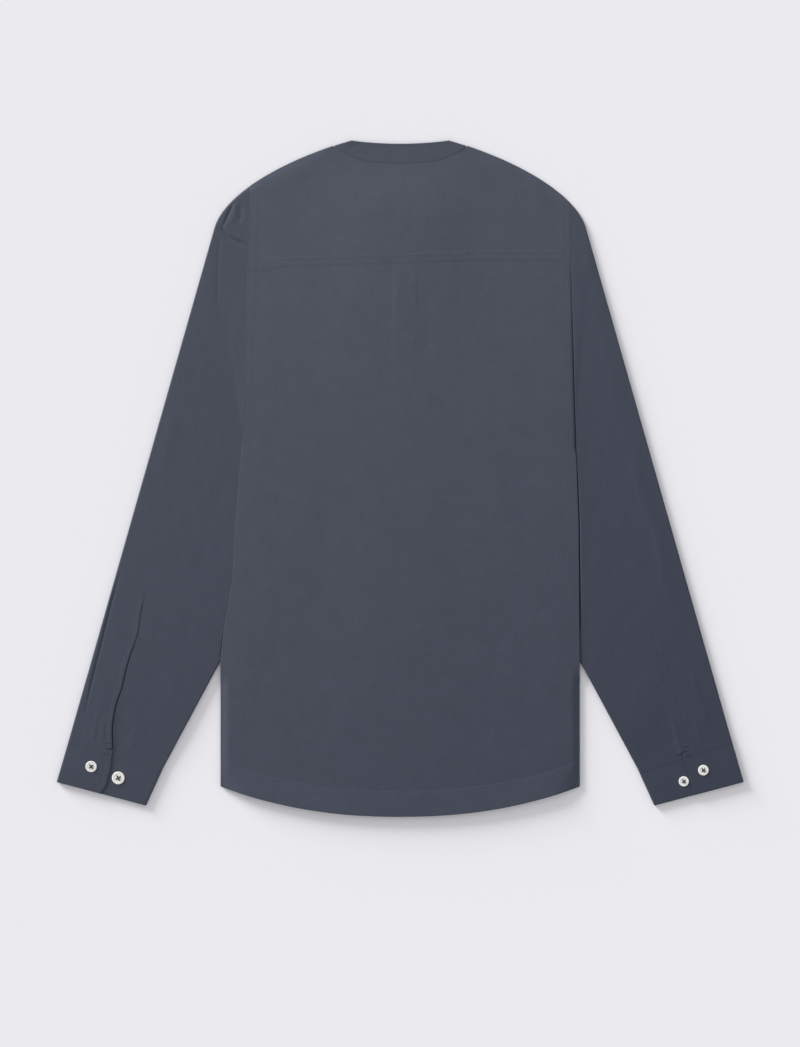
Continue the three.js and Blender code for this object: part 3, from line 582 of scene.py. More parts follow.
# Each fold has its path, its width, its rise and its lean.
SLEEVE_FOLDS = {
    -1: [
        (
            [(-305, -95), (-316.3, -133.7), (-327, -177.2), (-338, -220.5), (-344.5, -250), (-348, -268)],
            1.5, -0.7, 0.0,
        ),
        ([(-309, -98), (-320.3, -136), (-331, -179), (-341.5, -221.5), (-347.5, -250)], 3.4, 0.35, 0.0),
        ([(-260.5, 5), (-248.5, 75)], 9, 0.3, 0.0),
        ([(-183, 303), (-189, 291), (-196, 274)], 2.0, -0.9, 0.2),
        ([(-199, 279), (-188, 265), (-170, 255)], 2.0, -1.0, -0.2),
        ([(-198, 284), (-186, 270), (-171, 260)], 2.6, 0.6, 0.0),
        ([(-176, 302), (-175, 292), (-176, 280)], 3.4, -0.45, 0.0),
        ([(-181, 304), (-182, 292), (-186, 280)], 4.0, 0.45, 0.0),
        ([(-198.6, 273.4), (-200, 230), (-201, 185.4)], 2.0, -0.25, 0.0),
        ([(-331, -250), (-335, -270), (-338, -291)], 4, 0.3, 0.2),
        ([(-325, -262), (-327, -278), (-328, -294)], 4, 0.25, -0.2),
        ([(-290, -270), (-293, -285), (-296, -302)], 5, 0.2, 0.0),
    ],
    1: [
        ([(248.5, 45.6), (268, -30), (280.4, -58.8), (298, -151)], 9, 0.5, 0.2),
        ([(318.4, -208.5), (330, -243.7), (338, -276)], 5, 0.35, -0.2),
        ([(298, -262), (303, -280), (307, -300)], 4.5, 0.25, 0.0),
        ([(322, -258), (327, -275), (331, -291)], 4.5, 0.25, 0.2),
        ([(204, 262), (214, 225), (226, 170)], 8, 0.35, 0.0),
    ],
}
RING_UNDER = 44
EDGE_STEPS = np.array([-9, -6, -4, -2.5, -1.2, -0.3, 0.4, 1.0, 1.6, 2.2, 3, 4, 5.5, 7.5])
SWELL = {-1: 0.4, 1: 0.9}
SWELL_REACH = 34
TRENCH_DEPTH = 2.5
FOLD_ANGLES = np.radians([72, 54, 36, 18, 0, -18, -36, -54, -72])


def sleeve_edges(side):
    """The sleeve's outer and inner edge in plan, from the armhole down to the cuff seam."""
    top = abs(side_x(side, SLEEVE_TOP_Y[side])) + ARMHOLE_GAP
    bend = SHOULDER[SHOULDER[:, 0] >= top]
    outer = np.concatenate([[(top, shoulder_y(top))], bend, [CUFF_SEAM_OUTER]])
    hidden = np.stack([np.abs(side_x(side, np.array(TUCK_Y))) - TUCK_INSET, TUCK_Y], 1)[::-1]
    inner = np.concatenate([smooth_path(hidden, 160), [CUFF_SEAM_INNER]])
    return outer, inner


def sleeve_rest(side, y, share):
    """Heights of a sleeve's underside and top, which come down from the armhole to the surface."""
    edge = side_x(side, y)
    free = ease(share / ARMHOLE_REACH)
    low = mix(front_side_lift(edge, y), 0, free)
    upper = UPPER_SLEEVE_HEIGHT[side] + 0.9 * ease((230 - y) / 120)
    settled = mix(upper, SLEEVE_HEIGHT, ease((share - 0.1) / 0.4))
    high = mix(back_low(edge, y) + CLOTH, settled, free)
    return low, high


def crossing(side, start, end, is_past):
    """Share of each section at which is_past first holds."""
    across = np.linspace(0, 1, 1501)
    plan = start + (end - start) * across[None, :, None]
    past = is_past(side * plan[..., 0], plan[..., 1])
    return np.where(past.any(axis=1), across[past.argmax(axis=1)], 1.0)[:, None]


def body_swell(side, outside, crossing, width, y):
    """The sleeve swells up beside the body that lies on it. On the right a deep gap parts them."""
    gap = mix(0.9, 1.7, ease((50 - y) / 70)) if side > 0 else -1.5
    covered = ease((1 - FOLD_INSET - crossing) * width / 60)
    sunk = np.exp(-(((outside - 0.6 * gap) / (0.2 + gap)) ** 2))
    trench = TRENCH_DEPTH * sunk * ease(covered * 4) * (side > 0)
    fading = np.exp(-np.maximum(outside, 0) / SWELL_REACH)
    return SWELL[side] * ease((outside - gap) / 1.2) * fading * covered - trench


def outside_slit(side, x, y):
    """Way from a slit, above 0 on the flap's side, and how far down the slit it is."""
    path = np.array(SLIT_PATH[side])
    lead = (path[0] - path[1]) / np.linalg.norm(path[0] - path[1]) * SLIT_LEAD
    path = np.concatenate([[path[0] + lead], path])
    length = along(path, 0)[-1]
    way, share, turn = from_path(x, y, path)
    return way * turn * side, ease((share * length - SLIT_LEAD - 5) / 50)


def strip_underside(side, offset):
    return mix(STRIP_PROUD[side] - 0.9, 0.0, ease(offset / STRIP_WIDTH))


def slit_change(side, outside, opened, share):
    """How a slit changes the sleeve's top: a narrow gap, and a bed for the strip on the flap's side.
    The other side comes down to the cuff's lower end."""
    width = SLIT_WIDTH[side] * mix(0.45, 1, ease((share - 0.77) / 0.08))
    gap = ease((outside + width + 0.15) / 0.15) * ease((STRIP_WIDTH - outside) / 1.0)
    bed = strip_underside(side, outside) - 0.06
    depth = np.where(outside < 0.15, -SLIT_DEPTH[side], bed)
    below = -CUFF_STEP * ease((share - 0.86) / 0.14) * ease(-outside / 6)
    return depth * gap * opened + below


def slit_is_past(side):
    return lambda x, y: outside_slit(side, x, y)[0] < 0


# Painted shade: both sleeves are the body's cloth made darker.
sleeve_cloth = {-1: woven("left sleeve cloth", 0.86), 1: woven("right sleeve cloth", 0.86)}
shares = np.concatenate([
    NEAR_ROWS / SLEEVE_LENGTH, np.linspace(0.006, 0.09, 46),
    np.linspace(0.0945, 0.994, 166), 1 - NEAR_ROWS[::-1] / SLEEVE_LENGTH,
])
for side, node in ((-1, "sleeve_left"), (1, "sleeve_right")):
    outer, inner = sleeve_edges(side)
    start = resample(outer, 0, shares)[:, None, :]
    end = resample(inner, 0, shares)[:, None, :]
    width = np.linalg.norm(end - start, axis=-1)
    body_at = crossing(side, start, end, lambda x, y: inwards(x, y) > 0)
    slit_at = np.clip(crossing(side, start, end, slit_is_past(side)), 0.3, 0.62)
    near = np.clip(body_at, slit_at + 24 / width, 1 - FOLD_INSET - 10 / width)
    bands = [
        (FOLD_INSET, slit_at - SLIT_STEPS[-1] / width, 44),
        (slit_at - SLIT_STEPS[0] / width, near - EDGE_STEPS[-1] / width, 34),
        (near - EDGE_STEPS[0] / width, 1 - FOLD_INSET, 12),
    ]
    spread = [mix(a, b, np.linspace(0, 1, count)[None, :]) for a, b, count in bands]
    top = np.concatenate([
        spread[0][:, :-1], slit_at - SLIT_STEPS[::-1] / width,
        spread[1][:, 1:-1], near - EDGE_STEPS[::-1] / width, spread[2][:, 1:],
    ], axis=1)
    under = mix(1 - FOLD_INSET, FOLD_INSET, np.linspace(0, 1, RING_UNDER))[None, :] + 0 * width
    bend = np.ones((1, len(FOLD_ANGLES))) + 0 * width
    base = np.concatenate([top, bend * (1 - FOLD_INSET), under, bend * FOLD_INSET], axis=1)
    flat_top = np.full(top.shape[1], math.pi / 2)
    flat_under = np.full(RING_UNDER, -math.pi / 2)
    angles = np.concatenate([flat_top, FOLD_ANGLES, flat_under, FOLD_ANGLES[::-1]])
    out = np.where(base > 0.5, 1, -1) * np.cos(angles)
    up = np.sin(angles)
    way = from_edge(np.broadcast_to(start, (*base.shape, 2)), True)
    half = rounded(way + SEWN_EDGE, CLOTH)
    faces = []
    for reach in (-1, 1):
        inset = FOLD_INSET * width - CLOTH / 2 + reach * half
        across = base * width + out * inset
        plan = start + (end - start) * (across / width)[..., None]
        x = side * plan[..., 0]
        y = plan[..., 1]
        low, high = sleeve_rest(side, y, shares[:, None])
        edge = np.minimum(across, width - across)
        free = ease(shares[:, None] / ARMHOLE_REACH)
        slack = 0.99 if side < 0 else mix(0.94, 0.88, across < width / 2)
        loft = (high - low) / 2 * mix(1, mix(slack, 1, ease(edge / 40)), free)
        z = low + loft + up * (loft - CLOTH / 2 + reach * half)
        lifted = creases(x, y, SLEEVE_FOLDS[side]) + waves(x, y, 11 + side, 0.12) * free * ease(edge / 20)
        outside = body_at * width - across
        lifted += body_swell(side, outside, body_at, width, y) * free - furrow(x, y)
        beside, opened = outside_slit(side, x, y)
        lifted += slit_change(side, beside, opened, shares[:, None])
        z = z + lifted * ease(up * 4)
        z = np.where(up > 0.9, np.maximum(z, low + CLOTH + 0.05 + (reach > 0) * CLOTH), z)
        under_body = front_side_lift(x, y) - SEAM - (reach < 0) * CLOTH * up
        z = np.where(outside < 0, np.minimum(z, mix(under_body, z, ease(1 + outside / 1.2))), z)
        z = np.maximum(z, 0.3 * (reach > 0) * (up > 0))
        faces.append(np.dstack([x, y, z]))
    run = np.cumsum(np.append(0, np.linalg.norm(np.diff(faces[1][80], axis=0), axis=1)))
    ring = np.append(run, run[-1] + 3)
    flat = np.dstack(np.broadcast_arrays(ring[None, :], -SLEEVE_LENGTH * shares[:, None]))
    piece = wall(node + "_cloth", faces[0], faces[1], flat, closed=True)
    dress(piece, node, sleeve_cloth[side])

# The back below the yoke, one panel of the same cloth. A box pleat hangs from the middle of the
# yoke seam and opens out below it. The hem is turned up twice and stitched.
PLEAT_LEFT = -6.8
PLEAT_RIGHT = 18.5
PLEAT_SIDE = 2.6
PLEAT_RISE = 0.5
PLEAT_END = 20
YOKE_MIDDLE = 235
HEM_BAND = 28
HEM_TILT = 0.045
HEM_FOLD = 0.2
BACK_FOLDS = [
    ([(-183.9, -200), (-185, -218.4), (-174, -228.3), (-152, -249.2)], 6, 0.4, -0.3),
    ([(-192, -214), (-180, -236), (-166, -248)], 6, -0.2, 0.0),
    ([(30, 226), (29, 190), (27, 120)], 9, -0.3, 0.2),
    ([(-100, 140), (-104, 20), (-96, -90)], 30, 0.3, 0.0),
    ([(90, 120), (104, 0), (96, -160)], 34, 0.4, 0.2),
]


def yoke_seam_y(x):
    return np.interp(x, [-200, -168, -127, -30, 92, 200], [224, 226, 232.5, 234.5, 239.5, 238.5])


def pleat_rise(x, y):
    """The pleat stands up at the seam, and its sides soften as it opens."""
    below = np.clip((YOKE_MIDDLE - y) / (YOKE_MIDDLE - PLEAT_END), 0, 1)
    soft = mix(PLEAT_SIDE, 14, below**0.7)
    left = ease((x - PLEAT_LEFT + soft / 2) / soft)
    right = ease((PLEAT_RIGHT + soft / 2 - x) / soft)
    puffed = mix(0.35, 1, ease((YOKE_MIDDLE - y) / 30))
    return PLEAT_RISE * left * right * puffed * (1 - below) ** 1.6


def armhole_lap(x, y):
    """The seam allowance felled flat along the armhole."""
    way = inwards(x, y)
    return 0.08 * ease((11.5 - way) / 2.4) * ease((y - 150) / 80)


pleat_lines = np.array([-8.6, -8.2, -7.85, -7.5, -7.15, -6.8, -6.4])
middle_lines = np.concatenate([
    np.arange(-INNER_EDGE, -9, 2.3), pleat_lines, np.arange(-4, 17, 2.2),
    12 - pleat_lines[::-1], np.arange(23, INNER_EDGE + 1, 2.3),
])
rows = levels(606, 3.3, marks=(HEM_BAND,))
x, y = body_grid(middle_lines, hem_y, lambda x: yoke_seam_y(x) - 0.01, rows, pitch=2.3)
settled = ease(inwards(x, y) / 25) * ease((y - hem_y(x)) / 40)
creased = (creases(x, y, BACK_FOLDS) + waves(x, y, 4)) * settled
low = back_low(x, y) + pleat_rise(x, y) + creased - furrow(x, y)
band = np.clip(hem_y(x) + HEM_BAND - y, 0, HEM_BAND)
low += HEM_TILT * band * ease(inwards(x, y) / 25)
hem_fold = HEM_FOLD * ease((band - 0.6) / 1.2 + 0.5)
sewn = np.maximum(y > ARMPIT_Y, 0.0)
piece = panel("back_panel_cloth", x, y, low, hem_fold + armhole_lap(x, y), sewn=sewn)
dress(piece, "back_panel", body_cloth)

# The yoke across the shoulders, cut from the same cloth. Its lower edge is felled over the top of
# the back with a lap of doubled cloth, and the top of each sleeve is sewn to its end.
LAP_WIDTH = 10
LAP_RISE = 0.06
yoke_cloth = woven("yoke cloth")


def back_top_y(x):
    neck = 346 + (BAND_END_Y - 346) * np.clip(np.abs(x) / BAND_END_X, 0, 1) ** 3.2
    return np.where(np.abs(x) < BAND_END_X, neck, shoulder_y(x))


YOKE_FOLDS = [
    ([(-176, 300), (-174, 288), (-175, 276)], 3, -0.6, 0.2),
    ([(-150, 318), (-120, 335), (-92, 345)], 10, 0.35, 0.0),
]
yoke_lines = np.concatenate([
    np.arange(-INNER_EDGE, -75, 2.6), np.linspace(-74, 74, 57), np.arange(76, INNER_EDGE + 1, 2.6),
])
rows = levels(120, 2.6, marks=(LAP_WIDTH,))
x, y = body_grid(yoke_lines, lambda x: yoke_seam_y(x) + 0.01, back_top_y, rows, pitch=2.3)
y = np.minimum(y, back_top_y(x))
settled = ease(inwards(x, y) / 25) * ease((back_top_y(x) - y) / 25)
pleat_under = pleat_rise(x, y) * ease((yoke_seam_y(x) + 26 - y) / 24) * 0.7
creased = (creases(x, y, YOKE_FOLDS) + waves(x, y, 4)) * settled
low = back_low(x, y) + pleat_under + creased - furrow(x, y)
lap = LAP_RISE * ease((yoke_seam_y(x) + LAP_WIDTH - y) / 1.2 + 0.5)
sewn = np.maximum(y < 300, back_top_y(x) - y < shoulder_y(x) - y - 0.01).astype(float)
piece = panel("back_yoke_cloth", x, y, low, np.maximum(lap, armhole_lap(x, y)), sewn=sewn)
dress(piece, "back_yoke", yoke_cloth)

# The collar band, one stiff strip of doubled cloth that stands round the neck. Laid flat, it runs
# from the middle front round both neck corners and across the back.
STIFF = 1.4
FRONT_BAND_DEPTH = 61
NECK_CORNER_X = 54
ROLL = (NECK_REST + STIFF) / 2
# Painted shade: the collar band is the body's cloth made a little darker.
collar_cloth = woven("collar cloth", 0.94)


def band_front(x):
    """Seam, edge and height of the band under a front, x from the middle."""
    share = np.sqrt(1 - (x / BAND_END_X) ** 2)
    seam = (x, BAND_END_Y - FRONT_NECK_DEPTH * share + 2 * SEAM)
    edge = (max(0.6, x * 0.76), HALF_LENGTH - 4 - FRONT_BAND_DEPTH * share)
    return seam, edge, STIFF / 2 + PLACKET_LIFT * ease((30 - x) / 14)


stations = []
for x in np.concatenate([[0.6, 0.68, 0.85, 1.1, 1.8], np.linspace(4, 66, 32), [68, 70, 71.5, 72.5, 73]]):
    seam, edge, height = band_front(x)
    stations.append((*seam, *edge, 0, height, 0, -1))
for angle in np.radians(np.linspace(-90, 90, 15)):
    out = math.cos(angle)
    up = math.sin(angle)
    reach = ROLL - STIFF / 2
    seam_x = BAND_END_X - ROLL - 0.6
    stations.append((
        seam_x, BAND_END_Y - 0.8, NECK_CORNER_X - ROLL, HALF_LENGTH,
        out * reach, ROLL + up * reach, out, up,
    ))
half_band = np.array(stations)
mirrored = half_band * [-1, 1, -1, 1, -1, 1, -1, 1]
across_back = []
for x in np.linspace(-71, 71, 73):
    share = x / BAND_END_X
    neck = 346 + (BAND_END_Y - 346) * abs(share) ** 3.2
    height = NECK_REST + STIFF / 2 - 0.38 * ease((70 - abs(x)) / 12)
    across_back.append((x, neck + 0.02, NECK_CORNER_X * share, 368 + 3.5 * share**2, 0, height, 0, 1))
band = np.concatenate([mirrored, across_back, half_band[::-1]])[None, :, :]
near_seam = [0, 0.008, 0.025, 0.05, 0.1]
near_top = [0.9, 0.95, 0.975, 0.992, 1]
share = np.concatenate([near_seam, np.linspace(0.2, 0.8, 7), near_top])[:, None]
x = mix(band[..., 0], band[..., 2], share) + band[..., 4]
y = mix(band[..., 1], band[..., 3], share)
z = np.broadcast_to(band[..., 5], x.shape)
sewn = (share < 0.5) * (band[..., 7] > 0.9)
way = from_edge(np.dstack([x, y, z]))
half = mix(rounded(way, STIFF), rounded(way + SEWN_EDGE, STIFF), sewn)
push = band[..., 6] * half
lift = band[..., 7] * half
flat = np.dstack([along(np.dstack([x, y, z])[8:9], 1)[0][None, :] + 0 * x, share * 20 + 0 * x])
lower = np.dstack([x - push, y, z - lift])
upper = np.dstack([x + push, y, z + lift])
piece = wall("collar_band_cloth", lower, upper, flat)
dress(piece, "collar_band", collar_cloth)

# The bound edge of each sleeve slit: a narrow folded strip that lies over the slit from the flap's
# side, stitched down along it, its lower end caught in the cuff seam.
for side, node in ((-1, "sleeve_placket_left"), (1, "sleeve_placket_right")):
    middle = smooth_path(np.array(SLIT_PATH[side], float), 400)
    length = along(middle, 0)[-1]
    stops = np.concatenate([NEAR_ROWS, np.linspace(4, length - 4, 64), length - NEAR_ROWS[::-1]])
    line = resample(middle, 0, stops / length)
    run = np.gradient(line, axis=0)
    run /= np.linalg.norm(run, axis=1)[:, None]
    steps = np.concatenate([NEAR_ROWS[:5], np.linspace(2, 8, 7), STRIP_WIDTH - NEAR_ROWS[:3][::-1]])[None, :]
    normal = np.stack([-run[:, 1], run[:, 0]], 1) * side
    x = line[:, :1] + normal[:, :1] * steps
    y = line[:, 1:] + normal[:, 1:] * steps
    opened = ease(along(line, 0)[:, None] / length * 7)
    bed = SLEEVE_HEIGHT + creases(x, y, SLEEVE_FOLDS[side]) + waves(x, y, 11 + side, 0.12)
    underside = bed + strip_underside(side, steps) * opened - 0.02
    proud = bed + STRIP_PROUD[side] * (1 - ease(steps / STRIP_WIDTH)) * opened + 0.03
    middle_height = (underside + proud) / 2
    half = (proud - underside) / 2 * rounded(from_edge(np.dstack([x, y])), CLOTH) / (CLOTH / 2)
    lower = np.dstack([x, y, middle_height - half])
    upper = np.dstack([x, y, middle_height + half])
    piece = wall(node + "_cloth", lower, upper, np.dstack([steps + 0 * x, along(line, 0)[:, None] + 0 * x]))
    dress(piece, node, sleeve_cloth[side])

# The cuffs, each one stiff band of doubled cloth round the end of the sleeve. Its flap end lies over
# the other end and is buttoned down.
CUFF_CLOTH = 1.0
CUFF_LOW = CUFF_CLOTH / 2
ROLL_DEPTH = 0.35
CUFF_FLAP = SLEEVE_HEIGHT + 0.1 - CUFF_CLOTH / 2
CUFF_UNDERLAP = CUFF_FLAP - CUFF_CLOTH - 0.02
UNDERLAP_SHARE = 0.2
FLAP_DEPTH = [0, 0.09, 0.44, 0.76, 1]
FLAP_SHARE = {-1: [0.457, 0.464, 0.504, 0.517, 0.492], 1: [0.522, 0.524, 0.530, 0.538, 0.553]}
EDGE_BAND = {"width": 6.5, "rise": 0.08}
FLAP_LINE = 7.5
CUFF_STEPS = np.array([0, 0.11, 0.35, 0.7, 1.4])
# Painted shade: the cuffs are the body's cloth made darker.
cuff_cloth = {-1: woven("left cuff cloth", 0.87), 1: woven("right cuff cloth", 0.87)}


def cuff_path(width, flap_end):
    """Places across, heights and outward directions along the strip, from the flap to the other end."""
    outer_roll = (CUFF_FLAP - CUFF_LOW) / 2
    inner_roll = (CUFF_UNDERLAP - CUFF_LOW) / 2
    outer_inset = outer_roll * ROLL_DEPTH + CUFF_CLOTH / 2
    inner_inset = inner_roll * ROLL_DEPTH + CUFF_CLOTH / 2
    path = []

    def level(start, end, height, facing, first=False, last=False):
        inner = np.linspace(start, end, 26)[1:-1]
        step = math.copysign(1, end - start)
        head = start + step * CUFF_STEPS if first else [start]
        foot = end - step * CUFF_STEPS[::-1] if last else [end]
        places = np.concatenate([head, inner, foot])
        path.extend((place, height, 0, facing) for place in places)

    def roll(centre, middle, size, sign, turn):
        for angle in np.radians(np.linspace(75, -75, 11)) * turn:
            out = sign * math.cos(angle)
            up = math.sin(angle)
            path.append((centre + out * size * ROLL_DEPTH, middle + up * size, out, up))

    level(flap_end * width, outer_inset, CUFF_FLAP, 1, first=True)
    roll(outer_inset, CUFF_LOW + outer_roll, outer_roll, -1, 1)
    level(outer_inset, width - inner_inset, CUFF_LOW, -1)
    roll(width - inner_inset, CUFF_LOW + inner_roll, inner_roll, 1, -1)
    level(width - inner_inset, UNDERLAP_SHARE * width, CUFF_UNDERLAP, 1, last=True)
    return np.array(path)


for side, node in ((-1, "cuff_left"), (1, "cuff_right")):
    outer_length = np.linalg.norm(CUFF_OUTER - CUFF_SEAM_OUTER)
    inner = np.linspace(3, outer_length - 3, 34)
    depths = np.concatenate([CUFF_STEPS, inner, outer_length - CUFF_STEPS[::-1]])
    rows = []
    for depth in depths / outer_length:
        start = mix(CUFF_SEAM_OUTER, CUFF_OUTER, depth) + SLEEVE_RUN * 0.02 * max(0, 1 - depth * 6)
        end = mix(CUFF_SEAM_INNER, CUFF_INNER, depth) + SLEEVE_RUN * 0.02 * max(0, 1 - depth * 6)
        width = np.linalg.norm(end - start)
        path = cuff_path(width, np.interp(depth, FLAP_DEPTH, FLAP_SHARE[side]))
        rows.append((start, end, width, path))
    start, end, width = (np.array([row[k] for row in rows]) for k in range(3))
    path = np.array([row[3] for row in rows])
    way = from_edge(np.dstack([path[..., 0], path[..., 1], depths[:, None] + 0 * path[..., 0]]))
    sewn = (depths < outer_length / 2)[:, None]
    half = mix(rounded(way, CUFF_CLOTH), rounded(way + SEWN_EDGE, CUFF_CLOTH), sewn)
    faces = []
    for reach in (-1, 1):
        across = (path[..., 0] + path[..., 2] * half * reach) / width[:, None]
        plan = start[:, None, :] + (end - start)[:, None, :] * across[..., None]
        from_seam = depths[:, None]
        band = EDGE_BAND["rise"] * ease((EDGE_BAND["width"] + 1 - from_seam) / 2) * ease(from_seam + 0.4)
        from_flap = np.abs(path[..., 0] - path[:, :1, 0])
        sewn_line = 0.14 * np.exp(-(((from_flap - FLAP_LINE) / 1.1) ** 2)) * ease((from_seam - 4) / 4)
        on_flap = (path[..., 1] > CUFF_UNDERLAP + 0.5) * (path[..., 3] > 0.5)
        uneven = waves(plan[..., 0], plan[..., 1], 3, 0.05)
        relief = (band * (path[..., 3] > 0.5) - sewn_line * on_flap + uneven) * (reach > 0)
        height = path[..., 1] + path[..., 3] * half * reach + relief * np.maximum(path[..., 3], 0)
        faces.append(np.dstack([side * plan[..., 0], plan[..., 1], height]))
    flat = np.dstack([along(path[15:16, :, :2], 1)[0][None, :] + 0 * half, depths[:, None] + 0 * half])
    piece = wall(node + "_cloth", faces[0], faces[1], flat)
    dress(piece, node, cuff_cloth[side])

# Buttons, pale and slightly marbled, turned with a raised rim and four holes. Those on the cuffs are
# sewn on with dark thread crossed over the middle. Those down the front lie under the strip.
BUTTON_FACE = 0.85
# Rings of the button from the middle of its back round to that of its face: radius, height.
BUTTON_PROFILE = [
    (0, 0), (0.7, 0), (0.9, 0.12), (0.985, 0.3), (1, 0.5), (0.985, 0.72), (0.94, 0.9), (0.87, 0.98),
    (0.8, 1), (0.74, 0.95), (0.69, 0.84), (0.64, 0.76), (0.55, 0.72), (0.3, 0.7), (0, 0.7),
]
HOLE_SPREAD = 0.38
HOLE_RADIUS = 0.11
ROUND = 56
CORD_POINTS = 17
CORD_SIDES = 8
FRONT_BUTTON_TOP = 262
FRONT_BUTTON_PITCH = 85
FRONT_BUTTON_BASE = 0.15
FRONT_BUTTON_RADIUS = 5.7
button_finish = Finish("pale button")
spot = button_finish.node("ShaderNodeTexCoord")["Object"]
noise = {"Vector": spot, "Scale": 260.0, "Detail": 3.0, "Distortion": 1.2}
marble = button_finish.node("ShaderNodeTexNoise", inputs=noise)
shell = button_finish.blend(marble["Fac"], (0.66, 0.65, 0.62), (0.86, 0.85, 0.82))
button_finish.surface(Base_Color=shell, Roughness=0.32, Coat_Weight=0.25)
thread_finish = Finish("dark thread")
thread_finish.surface(Base_Color=(0.022, 0.026, 0.036, 1.0), Roughness=0.8)


def turned(name, profile, middle, sides):
    """A solid turned about an upright line from rings of (radius, height). The first and last ring
    are closed over."""
    angles = np.arange(sides) * math.tau / sides
    rings = [np.stack([r * np.cos(angles), r * np.sin(angles), 0 * angles + z], 1) for r, z in profile]
    points = (np.concatenate(rings) + np.append(middle, 0)) * MM
    faces = [tuple(range(sides))[::-1], tuple(range(len(points) - sides, len(points)))]
    for ring in range(len(profile) - 1):
        for k in range(sides):
            a = ring * sides + k
            b = ring * sides + (k + 1) % sides
            faces.append((a, b, b + sides, a + sides))
    mesh = bpy.data.meshes.new(name)
    mesh.from_pydata(points.tolist(), [], faces)
    solid = bpy.data.objects.new(name, mesh)
    bpy.context.collection.objects.link(solid)
    return solid


def finished(name, solid):
    """A plain mesh with the modifiers of this one worked in. The one with the modifiers goes."""
    ready = solid.evaluated_get(bpy.context.evaluated_depsgraph_get())
    piece = bpy.data.objects.new(name, bpy.data.meshes.new_from_object(ready))
    bpy.data.objects.remove(solid)
    bpy.context.collection.objects.link(piece)
    piece.data.materials.clear()
    return piece


def button(name, middle, base, radius, turn):
    """A button whose four holes are bored through."""
    profile = [(max(r, 0.02) * radius, base + z * BUTTON_FACE) for r, z in BUTTON_PROFILE]
    disc = turned(name + "_disc", profile, middle, ROUND)
    for corner in np.arange(4) * math.pi / 2 + turn:
        out = np.array([math.cos(corner), math.sin(corner)]) * HOLE_SPREAD * radius
        bore = [(HOLE_RADIUS * radius, base - 1), (HOLE_RADIUS * radius, base + 3)]
        hole = turned("hole", bore, middle + out, 14)
        cut = disc.modifiers.new("hole", "BOOLEAN")
        cut.object = hole
        cut.operation = "DIFFERENCE"
        piece = finished(name, disc)
        bpy.data.objects.remove(hole)
        disc = piece
    piece.data.shade_smooth()
    piece.data.set_sharp_from_angle(angle=math.radians(35))
    return piece


def crossed_thread(name, middle, height, reach, thickness, turn):
    """Two short cords crossed over the middle of a button, each going down at both ends."""
    run = np.linspace(-1, 1, CORD_POINTS)
    cords = []
    for angle in (turn, turn + math.pi / 2):
        drop = 0.7 * ease((np.abs(run) - 0.86) / 0.14)
        line = np.stack([
            middle[0] + run * reach * math.cos(angle), middle[1] + run * reach * math.sin(angle),
            height + 0.25 * np.cos(run * 1.3) - drop,
        ], 1)
        beside = np.array([-math.sin(angle), math.cos(angle), 0])
        around = np.arange(CORD_SIDES) * math.tau / CORD_SIDES
        ring = beside * np.cos(around)[:, None] + np.array([0, 0, 1]) * np.sin(around)[:, None]
        cords.append(line[:, None, :] + ring[None] * thickness)
    points = np.concatenate(cords).reshape(-1, 3) * MM
    faces = []
    for cord in range(2):
        first = cord * CORD_POINTS * CORD_SIDES
        last = first + (CORD_POINTS - 1) * CORD_SIDES
        faces.append(tuple(range(first, first + CORD_SIDES)))
        faces.append(tuple(range(last, last + CORD_SIDES))[::-1])
        for k in range(CORD_POINTS - 1):
            for n in range(CORD_SIDES):
                a = first + k * CORD_SIDES + n
                b = first + k * CORD_SIDES + (n + 1) % CORD_SIDES
                faces.append((a, a + CORD_SIDES, b + CORD_SIDES, b))
    mesh = bpy.data.meshes.new(name)
    mesh.from_pydata(points.tolist(), [], faces)
    mesh.shade_smooth()
    thread = bpy.data.objects.new(name, mesh)
    bpy.context.collection.objects.link(thread)
    mesh.materials.append(thread_finish.material)
    return thread


# Each cuff button has its middle, its radius, the layer that it lies on and its turn in degrees.
CUFF_BUTTONS = {
    "cuff_button_1": ((-339.3, -316.4), 6.2, CUFF_FLAP, 40),
    "cuff_button_2": ((-309.7, -329.0), 7.0, CUFF_UNDERLAP, 32),
    "cuff_button_3": ((311.6, -332.8), 5.6, CUFF_UNDERLAP, 38),
    "cuff_button_4": ((333.0, -320.4), 5.8, CUFF_FLAP, 44),
}
for node, (middle, radius, layer, degrees) in CUFF_BUTTONS.items():
    base = layer + CUFF_CLOTH / 2 + 0.05
    turn = math.radians(degrees)
    piece = button(node + "_turned", np.array(middle), base, radius, turn)
    dress(piece, node, button_finish.material)
    top = base + 0.7 * BUTTON_FACE + 0.25
    thread = crossed_thread(node + "_thread", middle, top, radius * HOLE_SPREAD * 1.16, 0.68, turn)
    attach(thread, "root")
for k in range(7):
    node = f"front_button_{k + 1}"
    middle = np.array([0, FRONT_BUTTON_TOP - FRONT_BUTTON_PITCH * k])
    piece = button(node + "_turned", middle, FRONT_BUTTON_BASE, FRONT_BUTTON_RADIUS, math.pi / 4)
    dress(piece, node, button_finish.material)

# The stitches, thread of nearly the cloth's own colour: lockstitch along the seams and edges, close
# satin stitch round the buttonholes and in the short bars that lock the ends of the slits.
STITCH_PITCH = 2.6
STITCH_LENGTH = 2.1
STITCH_THICK = 0.28
THREAD_COLOUR = (0.056, 0.065, 0.091)
CUFF_DEPTH = 52
CUFF_WIDTH = 100
BUTTONHOLE_HALF = 5.0


